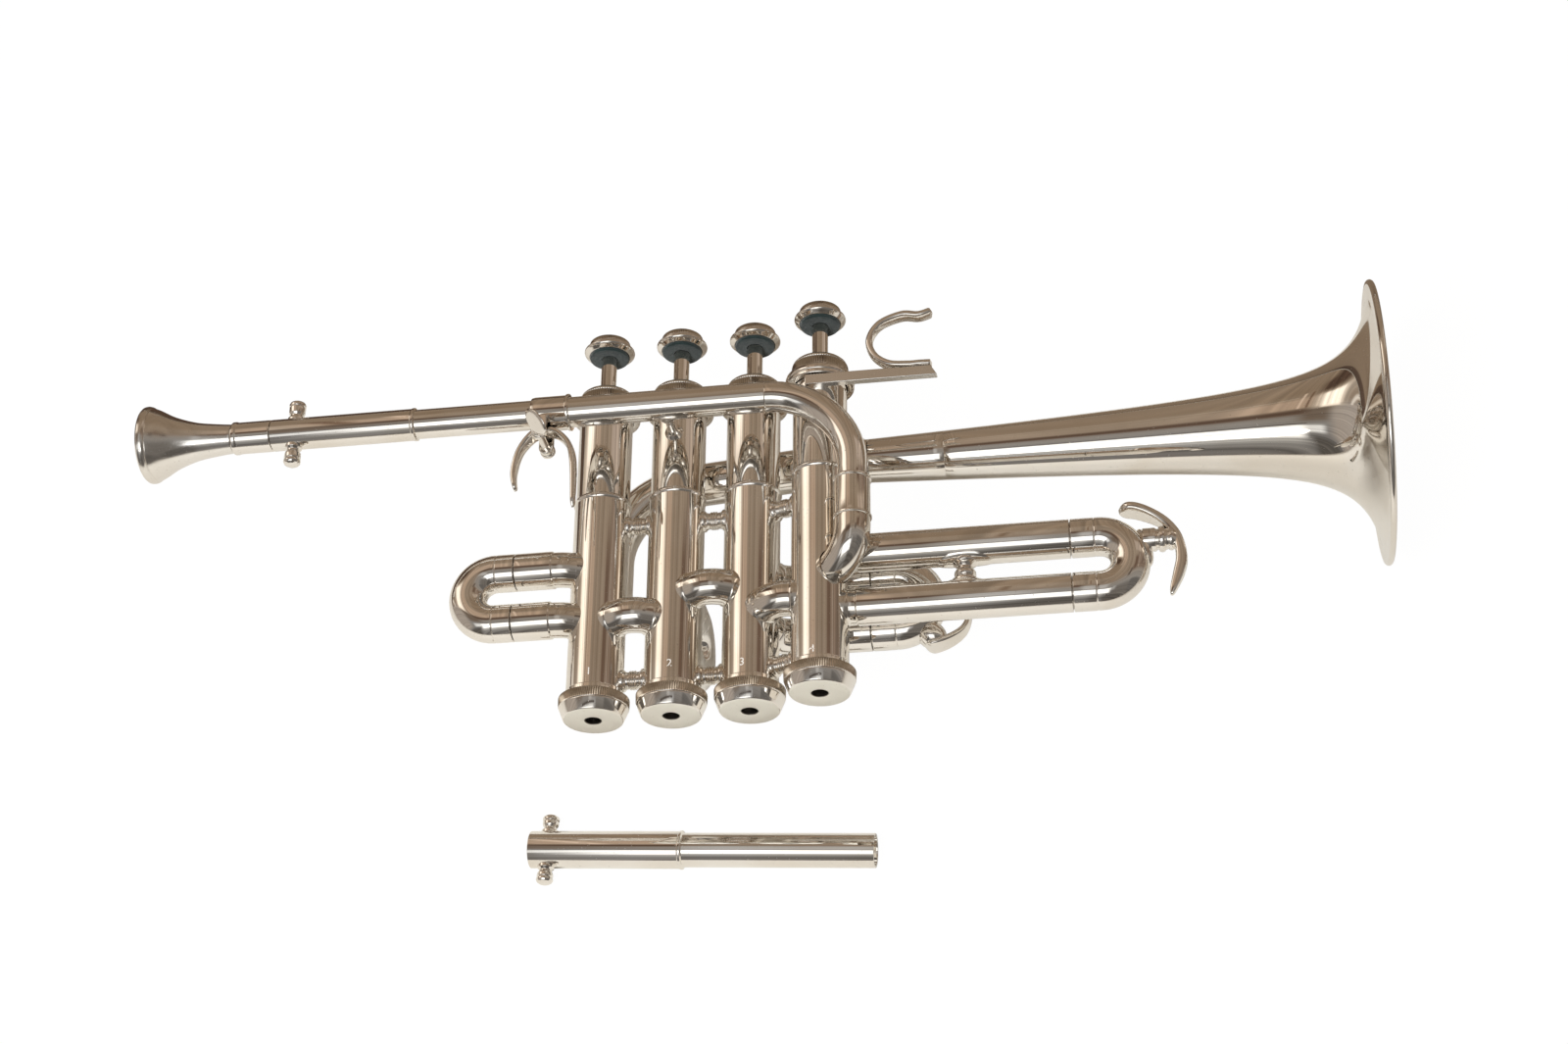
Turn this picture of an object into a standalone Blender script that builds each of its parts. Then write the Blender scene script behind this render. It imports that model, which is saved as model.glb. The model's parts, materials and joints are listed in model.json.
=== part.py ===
"""A four-valve piccolo trumpet, lying on its side on a table.

Every piece is modelled in the instrument's own playing frame: +X towards the bell, +Y away
from the viewer, +Z from the bottom caps up to the finger buttons, with the axis of valve 2 on
the Z axis and the bottom caps' flat faces at height zero. The empty named instrument then lays
the whole assembly on its side, so the valves lie along world Y and the table is at height zero.
"""

import math

import bmesh
import bpy
from mathutils import Vector

MM = 0.001

# Fits
JOINT_GAP = 0.3 * MM            # soldered, screwed or pushed-together faces
RUNNING_GAP = 0.4 * MM          # pistons in their casings, measured between radii
SLIDE_GAP = 0.55 * MM           # greased slide tubes in their sockets
LIP = 0.3 * MM                  # length of a step between two radii

# Casings
CASING_RADIUS = 9.5 * MM
CASING_WALL = 1.0 * MM
UPPER_STEP = 0.3 * MM           # the upper casing is this much slimmer
CASING_BOTTOM = 3.5 * MM
CASING_JOINT = 80.6 * MM        # the bead between lower and upper casing
CASING_TOP = 116.6 * MM
CASING_BORE = CASING_RADIUS - CASING_WALL
UPPER_CASING_RADIUS = CASING_RADIUS - UPPER_STEP

# Valve section layout
VALVE_GAP = 7.1 * MM            # between neighbouring casings
FOURTH_NEARER = 1.5 * MM        # valve 4 stands this much less than a pitch beyond valve 3
FOURTH_ASIDE = -10.1 * MM       # and this far towards the viewer
VALVE_PITCH = 2 * CASING_RADIUS + VALVE_GAP
FOURTH_ALONG = 2 * VALVE_PITCH - FOURTH_NEARER

# Caps
CAP_OVERHANG = 2.3 * MM
CAP_HEIGHT = 14.9 * MM
CAP_LAP = 1.9 * MM              # how far a top cap reaches down over its casing
BOTTOM_CAP_RISE = 9.8 * MM
DRAIN_RADIUS = 2.8 * MM
CAP_RADIUS = CASING_RADIUS + CAP_OVERHANG
TOP_CAP_BASE = CASING_TOP - CAP_LAP
TOP_CAP_APEX = TOP_CAP_BASE + CAP_HEIGHT

# Pistons, springs, felts and buttons
PISTON_TRAVEL = 10.5 * MM
PISTON_BOTTOM = 18.0 * MM
PISTON_ABOVE_JOINT = 3.4 * MM
BARREL_ABOVE_CASING = 4.4 * MM
STEM_RADIUS = 2.43 * MM
STEM_THREAD = 2.0 * MM          # how far the stem reaches into the button
FELT_THICKNESS = 1.3 * MM
FELT_RADIUS = 6.9 * MM
BUTTON_RADIUS = 8.93 * MM
BUTTON_HEIGHT = 5.0 * MM
SPRING_WIRE = 1.2 * MM
PISTON_RADIUS = CASING_BORE - RUNNING_GAP
PISTON_TOP = CASING_JOINT + PISTON_ABOVE_JOINT
BARREL_RADIUS = PISTON_RADIUS - 1.0 * MM
BARREL_TOP = CASING_TOP + BARREL_ABOVE_CASING
SPRING_RADIUS = CASING_BORE - 2.9 * MM
FELT_BASE = TOP_CAP_APEX + PISTON_TRAVEL + JOINT_GAP
BUTTON_BASE = FELT_BASE + FELT_THICKNESS + JOINT_GAP
BUTTON_TOP = BUTTON_BASE + BUTTON_HEIGHT
STEM_TOP = BUTTON_BASE + STEM_THREAD

# Tubes of the valve section, from the bore outward
TUBE_BORE = 4.8 * MM
TUBE_WALL = 1.2 * MM
SLIDE_WALL = 0.75 * MM
SLEEVE_WALL = 0.5 * MM
FERRULE_WALL = 0.35 * MM        # how far a ferrule stands out from its sleeve
TUBE_RADIUS = TUBE_BORE + TUBE_WALL
PORT_RADIUS = TUBE_BORE - 0.4 * MM
SLIDE_BORE = TUBE_BORE - 0.2 * MM
SLIDE_RADIUS = SLIDE_BORE + SLIDE_WALL
SOCKET_RADIUS = SLIDE_RADIUS + SLIDE_GAP
SLEEVE_RADIUS = SOCKET_RADIUS + SLEEVE_WALL
FERRULE_RADIUS = SLEEVE_RADIUS + FERRULE_WALL
BORE_PAST_END = 1.7 * MM        # how far a bore's cutter runs past the tube's ends

# Leadpipe
PIPE_BELOW_TOP = 12.3 * MM      # from the casings' top edge down to that axis
PIPE_RADIUS = 5.2 * MM
PIPE_WALL = 0.9 * MM
PIPE_BEND_RADIUS = 29.0 * MM
PIPE_BEYOND_FOURTH = 12.9 * MM  # the leadpipe turns down this far beyond valve 4
PIPE_TAIL = 5.0 * MM            # straight run below the bend
RING_OUT = 0.5 * MM             # rings on the receiver and on the elbow's sleeve
RING_LENGTH = 1.0 * MM
PIPE_ASIDE = FOURTH_ASIDE - UPPER_CASING_RADIUS - JOINT_GAP - PIPE_RADIUS
PIPE_HEIGHT = CASING_TOP - PIPE_BELOW_TOP
PIPE_BORE = PIPE_RADIUS - PIPE_WALL
PIPE_DROP_ALONG = FOURTH_ALONG + PIPE_BEYOND_FOURTH
PIPE_END_HEIGHT = PIPE_HEIGHT - PIPE_BEND_RADIUS - PIPE_TAIL

# Elbow from the leadpipe's lower end into valve 4
ELBOW_WALL = 0.7 * MM           # how far the elbow's sleeve stands out from the pipe
ELBOW_BEND_RADIUS = 11.0 * MM
ELBOW_PORT_HEIGHT = 42.0 * MM
ELBOW_PLAIN = 2.0 * MM          # plain tube between the sleeve's lower ring and the bend
ELBOW_RADIUS = PIPE_RADIUS + ELBOW_WALL

# Tuning shank, receiver, adapter and mouthpiece, from the valves outward
RECEIVER_CLEAR = 6.5 * MM       # from valve 1's axis to the receiver's inner end
RECEIVER_LENGTH = 13.0 * MM
SHANK_NARROW_RADIUS = 5.05 * MM
SHANK_SLEEVE_WALL = 0.45 * MM
RECEIVER_WALL = 0.35 * MM
SHANK_WALL = 0.85 * MM
SHANK_BEAD = 0.35 * MM
SHANK_SOCKET_STEP = 0.6 * MM    # the adapter's socket is this much wider than the shank's bore
SHANK_SLEEVE_LENGTH = 50.7 * MM
SHANK_EXPOSED = 41.4 * MM       # narrow tube that shows outside the receiver
SHANK_STOP_SHORT = 1.2 * MM     # from the inserted end to the receiver's inner end
SOCKET_STOP_SHORT = 0.2 * MM    # from the receiver's wide bore to that end
KNOB_REACH = 12.8 * MM          # knob tips from the shank's axis
KNOB_PLACE = 7.5 * MM           # knobs from the sleeve's mouthpiece end
ADAPTER_LENGTH = 14.2 * MM
ADAPTER_PLUG = 9.0 * MM
PLUG_WALL = 1.1 * MM
MOUTHPIECE_WALL = 1.0 * MM
MOUTHPIECE_LENGTH = 31.5 * MM   # what shows outside the adapter
MOUTHPIECE_RADIUS = 13.5 * MM
CUP_DEPTH = 9.5 * MM
CUP_RADIUS = 8.2 * MM
THROAT_RADIUS = 1.9 * MM
RECEIVER_END = -VALVE_PITCH - RECEIVER_CLEAR
RECEIVER_START = RECEIVER_END - RECEIVER_LENGTH
RECEIVER_BORE = SHANK_NARROW_RADIUS + SLIDE_GAP
RECEIVER_RADIUS = RECEIVER_BORE + RECEIVER_WALL
SHANK_SLEEVE_RADIUS = SHANK_NARROW_RADIUS + SHANK_SLEEVE_WALL
SHANK_BORE = SHANK_NARROW_RADIUS - SHANK_WALL
SHANK_INSERTED = RECEIVER_LENGTH - SHANK_STOP_SHORT
SHANK_NARROW_LENGTH = SHANK_EXPOSED + SHANK_INSERTED
SHANK_SOCKET = SHANK_BORE + SHANK_SOCKET_STEP
PLUG_RADIUS = SHANK_SOCKET - JOINT_GAP
SOCKET_MOUTH = PLUG_RADIUS + 0.25 * MM
SOCKET_END = SOCKET_MOUTH - 0.2 * MM
MOUTHPIECE_SHANK = SOCKET_END - JOINT_GAP
SHANK_START = RECEIVER_START - SHANK_EXPOSED - SHANK_SLEEVE_LENGTH
ADAPTER_START = SHANK_START - ADAPTER_LENGTH
MOUTHPIECE_RIM = ADAPTER_START - MOUTHPIECE_LENGTH

# Clamp and thumb saddle under the receiver
CLAMP_FROM_START = 3.6 * MM
CLAMP_BELOW_SADDLE = 1.75 * MM   # from the saddle strip's underside to the screw's axis
CLAMP_SCREW_RADIUS = 1.35 * MM
EAR_THICKNESS = 2.0 * MM
EAR_WIDTH = 5.0 * MM
SADDLE_WIDTH = 8.0 * MM
SADDLE_THICKNESS = 2.2 * MM
WING_LENGTH = 9.0 * MM
WING_THICKNESS = 1.6 * MM
CLAMP_ALONG = RECEIVER_START + CLAMP_FROM_START
CLAMP_HEIGHT = PIPE_HEIGHT - RECEIVER_RADIUS - JOINT_GAP - SADDLE_THICKNESS - CLAMP_BELOW_SADDLE

# Bell and its bow
BELL_CLEAR = 1.7 * MM           # between the upper casings and the bell's tail
BELL_BELOW_PIPE = 2.3 * MM
BELL_BEYOND_FOURTH = 13.3 * MM  # where the bell's tail begins
BELL_LENGTH = 173.75 * MM
BELL_RADIUS = 47.5 * MM
BELL_WALL = 1.2 * MM
BELL_BEAD = 1.2 * MM
BELL_POST_RADIUS = 3.0 * MM
BELL_THROAT_RADIUS = 7.6 * MM
BELL_TAPER = 4.4 * MM           # how much the tail widens as a cone
FLARE_REACH = 5.2 * MM          # the flare's law: the smaller, the more sudden the mouth
FLARE_POWER = 0.8
BOW_BEND_RADIUS = 29.0 * MM
BOW_NARROWING = 0.4 * MM
BOW_WALL = 1.2 * MM
BOW_SLOPE = math.radians(4.9)
BOW_ELBOW_RADIUS = 9.5 * MM
BOW_PORT_HEIGHT = 45.0 * MM
BOW_STRAIGHT = 3.0 * MM         # the tail's run on the bell's own line
BELL_ASIDE = UPPER_CASING_RADIUS + BELL_CLEAR + BELL_THROAT_RADIUS
BELL_HEIGHT = PIPE_HEIGHT - BELL_BELOW_PIPE
BELL_START = FOURTH_ALONG + BELL_BEYOND_FOURTH

# Valve slides: the port's angle on the casing, the side step of the legs, their heights, how far
# the mouth stands from the casing's wall, and the lengths of sleeve, socket, ferrule and plain tube
PASSING = 2.2 * MM              # between slide 3 and the casing of valve 4
SLIDES = {
    1: dict(heading=(-1, 0), port=205, aside=-5.0 * MM, bend=14.0 * MM, upper=54.6 * MM, lower=35.6 * MM,
            reach=17.7 * MM, sleeve=12.8 * MM, socket=12.3 * MM, ferrule=6.8 * MM, plain=0.4 * MM),
    2: dict(heading=(0, 1), port=90, aside=0.0, bend=10.0 * MM, upper=50.0 * MM, lower=30.3 * MM,
            reach=14.5 * MM, sleeve=13.0 * MM, socket=13.0 * MM, ferrule=6.5 * MM, plain=0.5 * MM),
    3: dict(heading=(1, 0), port=35, aside=FOURTH_ASIDE + CASING_RADIUS + PASSING + SLEEVE_RADIUS,
            bend=12.0 * MM, upper=50.0 * MM, lower=30.0 * MM, reach=29.9 * MM, sleeve=22.5 * MM,
            socket=21.0 * MM, ferrule=8.4 * MM, plain=0.4 * MM),
    4: dict(heading=(1, 0), port=0, aside=0.0, bend=10.0 * MM, upper=50.0 * MM, lower=30.3 * MM,
            reach=72.8 * MM, sleeve=70.0 * MM, socket=62.0 * MM, ferrule=8.0 * MM, plain=1.3 * MM),
}

# Knuckles between neighbouring valves: the ports' spread from the line of axes, and the height
KNUCKLES = {(1, 2): (35, 34.5 * MM), (2, 3): (35, 43.2 * MM), (3, 4): (27.7, 34.8 * MM)}
KNUCKLE_BEND = 9.0 * MM

# Struts between the casings: height and radius of the upper and the lower row
STRUTS = {CASING_JOINT - 8.3 * MM: 2.85 * MM, BOTTOM_CAP_RISE + 4.0 * MM: 3.4 * MM}

# Hook bar beside valve 4's top cap, and the hooks
BAR_BEFORE_FOURTH = 3.7 * MM
BAR_BEYOND_FOURTH = 41.3 * MM
BAR_RISE = 3.9 * MM
BAR_DEPTH = 4.6 * MM
BAR_SEAT = 2.6 * MM             # how deep the bar is let round the casing
HOOK_WIDTH = 5.0 * MM
HOOK_THICKNESS = 2.4 * MM
CRESCENT_WIDTH = 8.4 * MM
CRESCENT_THICKNESS = 1.6 * MM
CRESCENT_POST = 2.0 * MM
BRACE_FROM_MOUTH = 34.4 * MM    # slide 4's brace, counted back from the sleeve's mouth
BAR_HIGH = TOP_CAP_BASE - 0.4 * MM
BAR_LOW = BAR_HIGH - BAR_RISE
BAR_START = FOURTH_ALONG - BAR_BEFORE_FOURTH
BAR_END = FOURTH_ALONG + BAR_BEYOND_FOURTH

# Spare tuning shank, lying loose on the table in front of the trumpet
SPARE_START_ALONG = -61.5 * MM
SPARE_START_HEIGHT = -20.2 * MM
SPARE_TILT = math.radians(-3.2)
SPARE_EXTRA_LENGTH = 17.0 * MM  # the spare shank is longer than the fitted one

# Facets
ROUND_STEPS = 12
FEW_STEPS = 8                   # knobs, springs and the clamp screw
PIPE_SIDES = 10
SLIDE_SIDES = 8
BORE_SIDES = 6                  # tubes' inner sides, ports, struts and posts
BELL_STEPS = 24

COLOURS = {
    "nickel_silver": ((0.74, 0.70, 0.65), 0.12, 1.0),
    "polished_steel": ((0.70, 0.68, 0.66), 0.18, 1.0),
    "spring_steel": ((0.42, 0.42, 0.44), 0.35, 1.0),
    "green_felt": ((0.03, 0.07, 0.06), 0.95, 0.0),
}

for leftover in list(bpy.data.objects):
    bpy.data.objects.remove(leftover, do_unlink=True)


def new_collection(name):
    """A collection linked straight under the scene's own."""
    collection = bpy.data.collections.new(name)
    bpy.context.scene.collection.children.link(collection)
    return collection


PARTS = new_collection("piccolo_trumpet")
CUTTERS = new_collection("cutters")


def new_empty(name, location, parent=None):
    """An empty that carries the pieces of one sub-assembly."""
    holder = bpy.data.objects.new(name, None)
    holder.location = location
    holder.parent = parent
    PARTS.objects.link(holder)
    return holder


INSTRUMENT = new_empty("instrument", (0, 0, 0))
INSTRUMENT.rotation_euler = (math.radians(-90), 0, 0)


def finish_for(piece, finish):
    """Each piece has its own material in one of the instrument's finishes."""
    colour, roughness, metallic = COLOURS[finish]
    material = bpy.data.materials.new(piece.name + "_finish")
    material.use_nodes = True
    shader = material.node_tree.nodes["Principled BSDF"]
    shader.inputs["Base Color"].default_value = (*colour, 1)
    shader.inputs["Roughness"].default_value = roughness
    shader.inputs["Metallic"].default_value = metallic
    piece.data.materials.append(material)


def settle(piece, finish, holder):
    """Puts an object among the parts, or among the cutters when it has no finish."""
    piece.parent = holder or INSTRUMENT
    if finish:
        PARTS.objects.link(piece)
        finish_for(piece, finish)
    else:
        CUTTERS.objects.link(piece)
        piece.hide_render = True
        piece.display_type = "WIRE"
    return piece


def turned(name, outline, finish=None, place=(0, 0, 0), along="Z", steps=ROUND_STEPS, ring=False,
           holder=None):
    """A turned piece. The outline lists (radius, height) and runs down the outer side.

    A ring's outline comes back up the bore and closes on itself. Height runs from the point
    place along the axis X, Y or Z.
    """
    mesh = bpy.data.meshes.new(name)
    points = [(radius, 0, height) for radius, height in outline]
    edges = [(i, i + 1) for i in range(len(points) - 1)]
    if ring:
        edges.append((len(points) - 1, 0))
    mesh.from_pydata(points, edges, [])
    piece = bpy.data.objects.new(name, mesh)
    tilt = {"X": (0, 90, 0), "Y": (-90, 0, 0), "Z": (0, 0, 0)}[along]
    piece.rotation_euler = [math.radians(angle) for angle in tilt]
    piece.location = place
    screw = piece.modifiers.new("turn", "SCREW")
    screw.steps = steps
    screw.render_steps = steps
    screw.use_merge_vertices = True
    screw.merge_threshold = 0.01 * MM
    return settle(piece, finish, holder)


def rounded_route(corners, bend_radius, steps=6):
    """Points along straight runs whose inner corners are rounded to one bend radius."""
    corners = [Vector(corner) for corner in corners]
    points = [corners[0]]
    for before, corner, after in zip(corners, corners[1:], corners[2:]):
        inward = (corner - before).normalized()
        outward = (after - corner).normalized()
        turn = inward.angle(outward)
        start = corner - inward * bend_radius * math.tan(turn / 2)
        middle = start + (outward - inward * inward.dot(outward)).normalized() * bend_radius
        across = start - middle
        for step in range(steps + 1):
            angle = turn * step / steps
            points.append(middle + across * math.cos(angle) + inward * bend_radius * math.sin(angle))
    points.append(corners[-1])
    route = [points[0]]
    for point in points[1:]:
        if (point - route[-1]).length > 0.05 * MM:
            route.append(point)
    return route


def swept(name, route, radius, finish=None, place=(0, 0, 0), sides=PIPE_SIDES, past_ends=0.0):
    """A round bar along a route; radius is one size or a list of sizes, one for each point.

    A bore runs past both ends of the tube that it cuts, by past_ends.
    """
    place = Vector(place)
    route = [Vector(spot) for spot in route]
    route[0] += (route[0] - route[1]).normalized() * past_ends
    route[-1] += (route[-1] - route[-2]).normalized() * past_ends
    radii = radius if isinstance(radius, list) else [radius] * len(route)
    curve = bpy.data.curves.new(name + "_route", "CURVE")
    curve.dimensions = "3D"
    curve.fill_mode = "FULL"
    curve.bevel_depth = MM
    curve.bevel_resolution = sides // 2 - 2
    curve.use_fill_caps = True
    spline = curve.splines.new("POLY")
    spline.points.add(len(route) - 1)
    for point, spot, size in zip(spline.points, route, radii):
        point.co = (*(spot - place), 1)
        point.radius = size / MM
    bar = bpy.data.objects.new(name + "_bar", curve)
    CUTTERS.objects.link(bar)
    bar.location = place
    bpy.context.view_layer.update()
    graph = bpy.context.evaluated_depsgraph_get()
    mesh = bpy.data.meshes.new_from_object(bar.evaluated_get(graph))
    mesh.name = name
    shape = bmesh.new()
    shape.from_mesh(mesh)
    bmesh.ops.remove_doubles(shape, verts=shape.verts, dist=0.01 * MM)
    bmesh.ops.recalc_face_normals(shape, faces=shape.faces)
    shape.to_mesh(mesh)
    shape.free()
    piece = bpy.data.objects.new(name, mesh)
    piece.matrix_world = bar.matrix_world
    bpy.data.objects.remove(bar, do_unlink=True)
    bpy.data.curves.remove(curve)
    return settle(piece, finish, None)


def strip(name, route, thickness, finish, place):
    """A bent flat strip across Y. The route lists (x, y, z, width); the ribbon is thickened both ways."""
    place = Vector(place)
    mesh = bpy.data.meshes.new(name)
    points = []
    for spot in route:
        for side in (-0.5, 0.5):
            points.append(tuple(spot.xyz - place + Vector((0, side * spot.w, 0))))
    faces = [(2 * i, 2 * i + 1, 2 * i + 3, 2 * i + 2) for i in range(len(route) - 1)]
    mesh.from_pydata(points, [], faces)
    piece = bpy.data.objects.new(name, mesh)
    piece.location = place
    shell = piece.modifiers.new("thickness", "SOLIDIFY")
    shell.thickness = thickness
    shell.offset = 0
    shell.use_even_offset = True
    return settle(piece, finish, None)


def smooth_route(knots, steps):
    """A Catmull-Rom curve through the knots, each a place and a width."""
    knots = [Vector(knot) for knot in knots]
    ends = [knots[0] * 2 - knots[1]] + knots + [knots[-1] * 2 - knots[-2]]
    points = []
    for a, b, c, d in zip(ends, ends[1:], ends[2:], ends[3:]):
        for step in range(steps):
            t = step / steps
            points.append(0.5 * (2 * b + (c - a) * t + (2 * a - 5 * b + 4 * c - d) * t * t
                                 + (3 * b - a - 3 * c + d) * t ** 3))
    points.append(knots[-1])
    return points


def box(name, low, high, finish=None):
    """A block between two corners."""
    mesh = bpy.data.meshes.new(name)
    shape = bmesh.new()
    bmesh.ops.create_cube(shape, size=1)
    low, high = Vector(low), Vector(high)
    bmesh.ops.scale(shape, vec=high - low, verts=shape.verts)
    shape.to_mesh(mesh)
    shape.free()
    piece = bpy.data.objects.new(name, mesh)
    piece.location = (low + high) / 2
    return settle(piece, finish, None)


def carve(target, tool, operation="DIFFERENCE"):
    """Cuts a tool out of a piece, or joins it on."""
    cut = target.modifiers.new(operation.lower(), "BOOLEAN")
    cut.operation = operation
    cut.solver = "EXACT"
    cut.object = tool


def valve_axis(number):
    """Where a valve's axis stands, in the instrument's frame."""
    if number == 4:
        return Vector((FOURTH_ALONG, FOURTH_ASIDE, 0))
    return Vector(((number - 2) * VALVE_PITCH, 0, 0))


def compass(degrees):
    """A level direction, counted from +X towards +Y."""
    return Vector((math.cos(math.radians(degrees)), math.sin(math.radians(degrees)), 0))


# The valves: casing, caps, piston, button, felt and spring, each on the valve's own axis
CASINGS = {}
PISTONS = {}
ENVELOPES = {}
HOLDERS = {number: new_empty("valve_%d" % number, valve_axis(number), INSTRUMENT) for number in (1, 2, 3, 4)}
for holder in HOLDERS.values():
    holder.rotation_euler.z = math.pi / ROUND_STEPS      # a flat facet faces each straight port


def casing_side(gap):
    """A casing's outer side from the top edge down, moved out by a gap."""
    return [
        (UPPER_CASING_RADIUS + gap, CASING_TOP),
        (UPPER_CASING_RADIUS + gap, CASING_JOINT + 0.7 * MM),
        (CASING_RADIUS + gap + 0.2 * MM, CASING_JOINT),
        (CASING_RADIUS + gap, CASING_JOINT - 0.7 * MM),
        (CASING_RADIUS + gap, CASING_BOTTOM),
    ]


def make_casing(number):
    """Two-part casing with a bead where the upper tube is let into the lower one.

    What is soldered to the casing is cut off along its envelope, a joint's gap further out.
    """
    outline = casing_side(0) + [(CASING_BORE, CASING_BOTTOM), (CASING_BORE, CASING_TOP)]
    CASINGS[number] = turned("valve_casing_%d" % number, outline, "nickel_silver", ring=True,
                             holder=HOLDERS[number])
    around = [(0, CASING_TOP)] + casing_side(JOINT_GAP) + [(0, CASING_BOTTOM)]
    ENVELOPES[number] = turned("casing_%d_envelope" % number, around, holder=HOLDERS[number])


def make_bottom_cap(number):
    """A screwed cup under the casing with a knurled band and a drain hole."""
    bore = CASING_RADIUS + JOINT_GAP
    outline = [
        (bore + 0.6 * MM, BOTTOM_CAP_RISE),
        (bore + 1.3 * MM, 7.2 * MM),
        (CAP_RADIUS, 6.3 * MM),
        (CAP_RADIUS, 3.4 * MM),
        (CAP_RADIUS - 1.7 * MM, 0),
        (DRAIN_RADIUS, 0),
        (DRAIN_RADIUS, CASING_BOTTOM - JOINT_GAP),
        (bore, CASING_BOTTOM - JOINT_GAP),
        (bore, BOTTOM_CAP_RISE),
    ]
    turned("bottom_cap_%d" % number, outline, "nickel_silver", ring=True, holder=HOLDERS[number])


def make_top_cap(number):
    """A domed cap with a knurled band, hollow over the piston's barrel."""
    bore = UPPER_CASING_RADIUS + JOINT_GAP
    chamber = BARREL_RADIUS + 0.8 * MM
    hole = STEM_RADIUS + RUNNING_GAP
    ceiling = BARREL_TOP + JOINT_GAP
    outline = [
        (hole, TOP_CAP_APEX),
        (CAP_RADIUS - 4.6 * MM, TOP_CAP_APEX - 2.2 * MM),
        (CAP_RADIUS - 1.1 * MM, TOP_CAP_APEX - 6.4 * MM),
        (CAP_RADIUS, TOP_CAP_APEX - 8.4 * MM),
        (CAP_RADIUS, TOP_CAP_BASE),
        (bore, TOP_CAP_BASE),
        (bore, CASING_TOP + JOINT_GAP),
        (chamber, CASING_TOP + JOINT_GAP),
        (chamber, ceiling),
        (hole, ceiling),
    ]
    turned("top_cap_%d" % number, outline, "nickel_silver", ring=True, holder=HOLDERS[number])


def make_piston(number):
    """A ported piston with a slimmer barrel and its stem in one piece."""
    outline = [
        (0, STEM_TOP),
        (STEM_RADIUS, STEM_TOP),
        (STEM_RADIUS, BARREL_TOP),
        (BARREL_RADIUS, BARREL_TOP),
        (BARREL_RADIUS, PISTON_TOP),
        (PISTON_RADIUS, PISTON_TOP - 0.6 * MM),
        (PISTON_RADIUS, PISTON_BOTTOM),
        (0, PISTON_BOTTOM),
    ]
    PISTONS[number] = turned("piston_%d" % number, outline, "polished_steel", holder=HOLDERS[number])


def make_button(number):
    """A two-tier finger button, hollowed underneath for the stem's thread."""
    socket = STEM_RADIUS + JOINT_GAP
    dish = BUTTON_TOP - 0.4 * MM
    outline = [
        (0, dish),
        (BUTTON_RADIUS - 3.3 * MM, dish),
        (BUTTON_RADIUS - 2.0 * MM, BUTTON_TOP),
        (BUTTON_RADIUS - 1.4 * MM, BUTTON_TOP - 1.3 * MM),
        (BUTTON_RADIUS - 1.9 * MM, BUTTON_TOP - 1.9 * MM),
        (BUTTON_RADIUS, BUTTON_TOP - 2.6 * MM),
        (BUTTON_RADIUS, BUTTON_TOP - 3.5 * MM),
        (BUTTON_RADIUS - 1.8 * MM, BUTTON_BASE),
        (socket, BUTTON_BASE),
        (socket, STEM_TOP + JOINT_GAP),
        (0, STEM_TOP + JOINT_GAP),
    ]
    turned("finger_button_%d" % number, outline, "nickel_silver", holder=HOLDERS[number])


def make_felt(number):
    """A felt washer under the button, loose on the stem."""
    top = BUTTON_BASE - JOINT_GAP
    hole = STEM_RADIUS + JOINT_GAP
    outline = [(FELT_RADIUS, top), (FELT_RADIUS, FELT_BASE), (hole, FELT_BASE), (hole, top)]
    turned("button_felt_%d" % number, outline, "green_felt", ring=True, holder=HOLDERS[number])


def make_spring(number):
    """The return spring's sleeve-shaped space between the bottom cap and the piston."""
    high = PISTON_BOTTOM - JOINT_GAP
    core = SPRING_RADIUS - SPRING_WIRE
    outline = [(SPRING_RADIUS, high), (SPRING_RADIUS, CASING_BOTTOM), (core, CASING_BOTTOM), (core, high)]
    turned("valve_spring_%d" % number, outline, "spring_steel", steps=FEW_STEPS, ring=True,
           holder=HOLDERS[number])


for valve in HOLDERS:
    make_casing(valve)
    make_bottom_cap(valve)
    make_top_cap(valve)
    make_piston(valve)
    make_button(valve)
    make_felt(valve)
    make_spring(valve)


def bore_casing(number, degrees, height):
    """A port through one side of a casing's wall."""
    centre = valve_axis(number) + Vector((0, 0, height))
    way = compass(degrees)
    name = "casing_%d_port_%d_%d" % (number, degrees, round(height / MM))
    port = swept(name, [centre + way * CASING_BORE / 2, centre + way * CASING_RADIUS * 1.5], PORT_RADIUS,
                 sides=BORE_SIDES)
    carve(CASINGS[number], port)


def bore_piston(number, degrees, height):
    """A passage straight through a piston."""
    centre = valve_axis(number) + Vector((0, 0, height))
    reach = compass(degrees) * PISTON_RADIUS * 1.5
    passage = swept("piston_%d_passage_%d" % (number, round(height / MM)), [centre - reach, centre + reach],
                    PORT_RADIUS - RUNNING_GAP, sides=BORE_SIDES)
    carve(PISTONS[number], passage)


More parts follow.
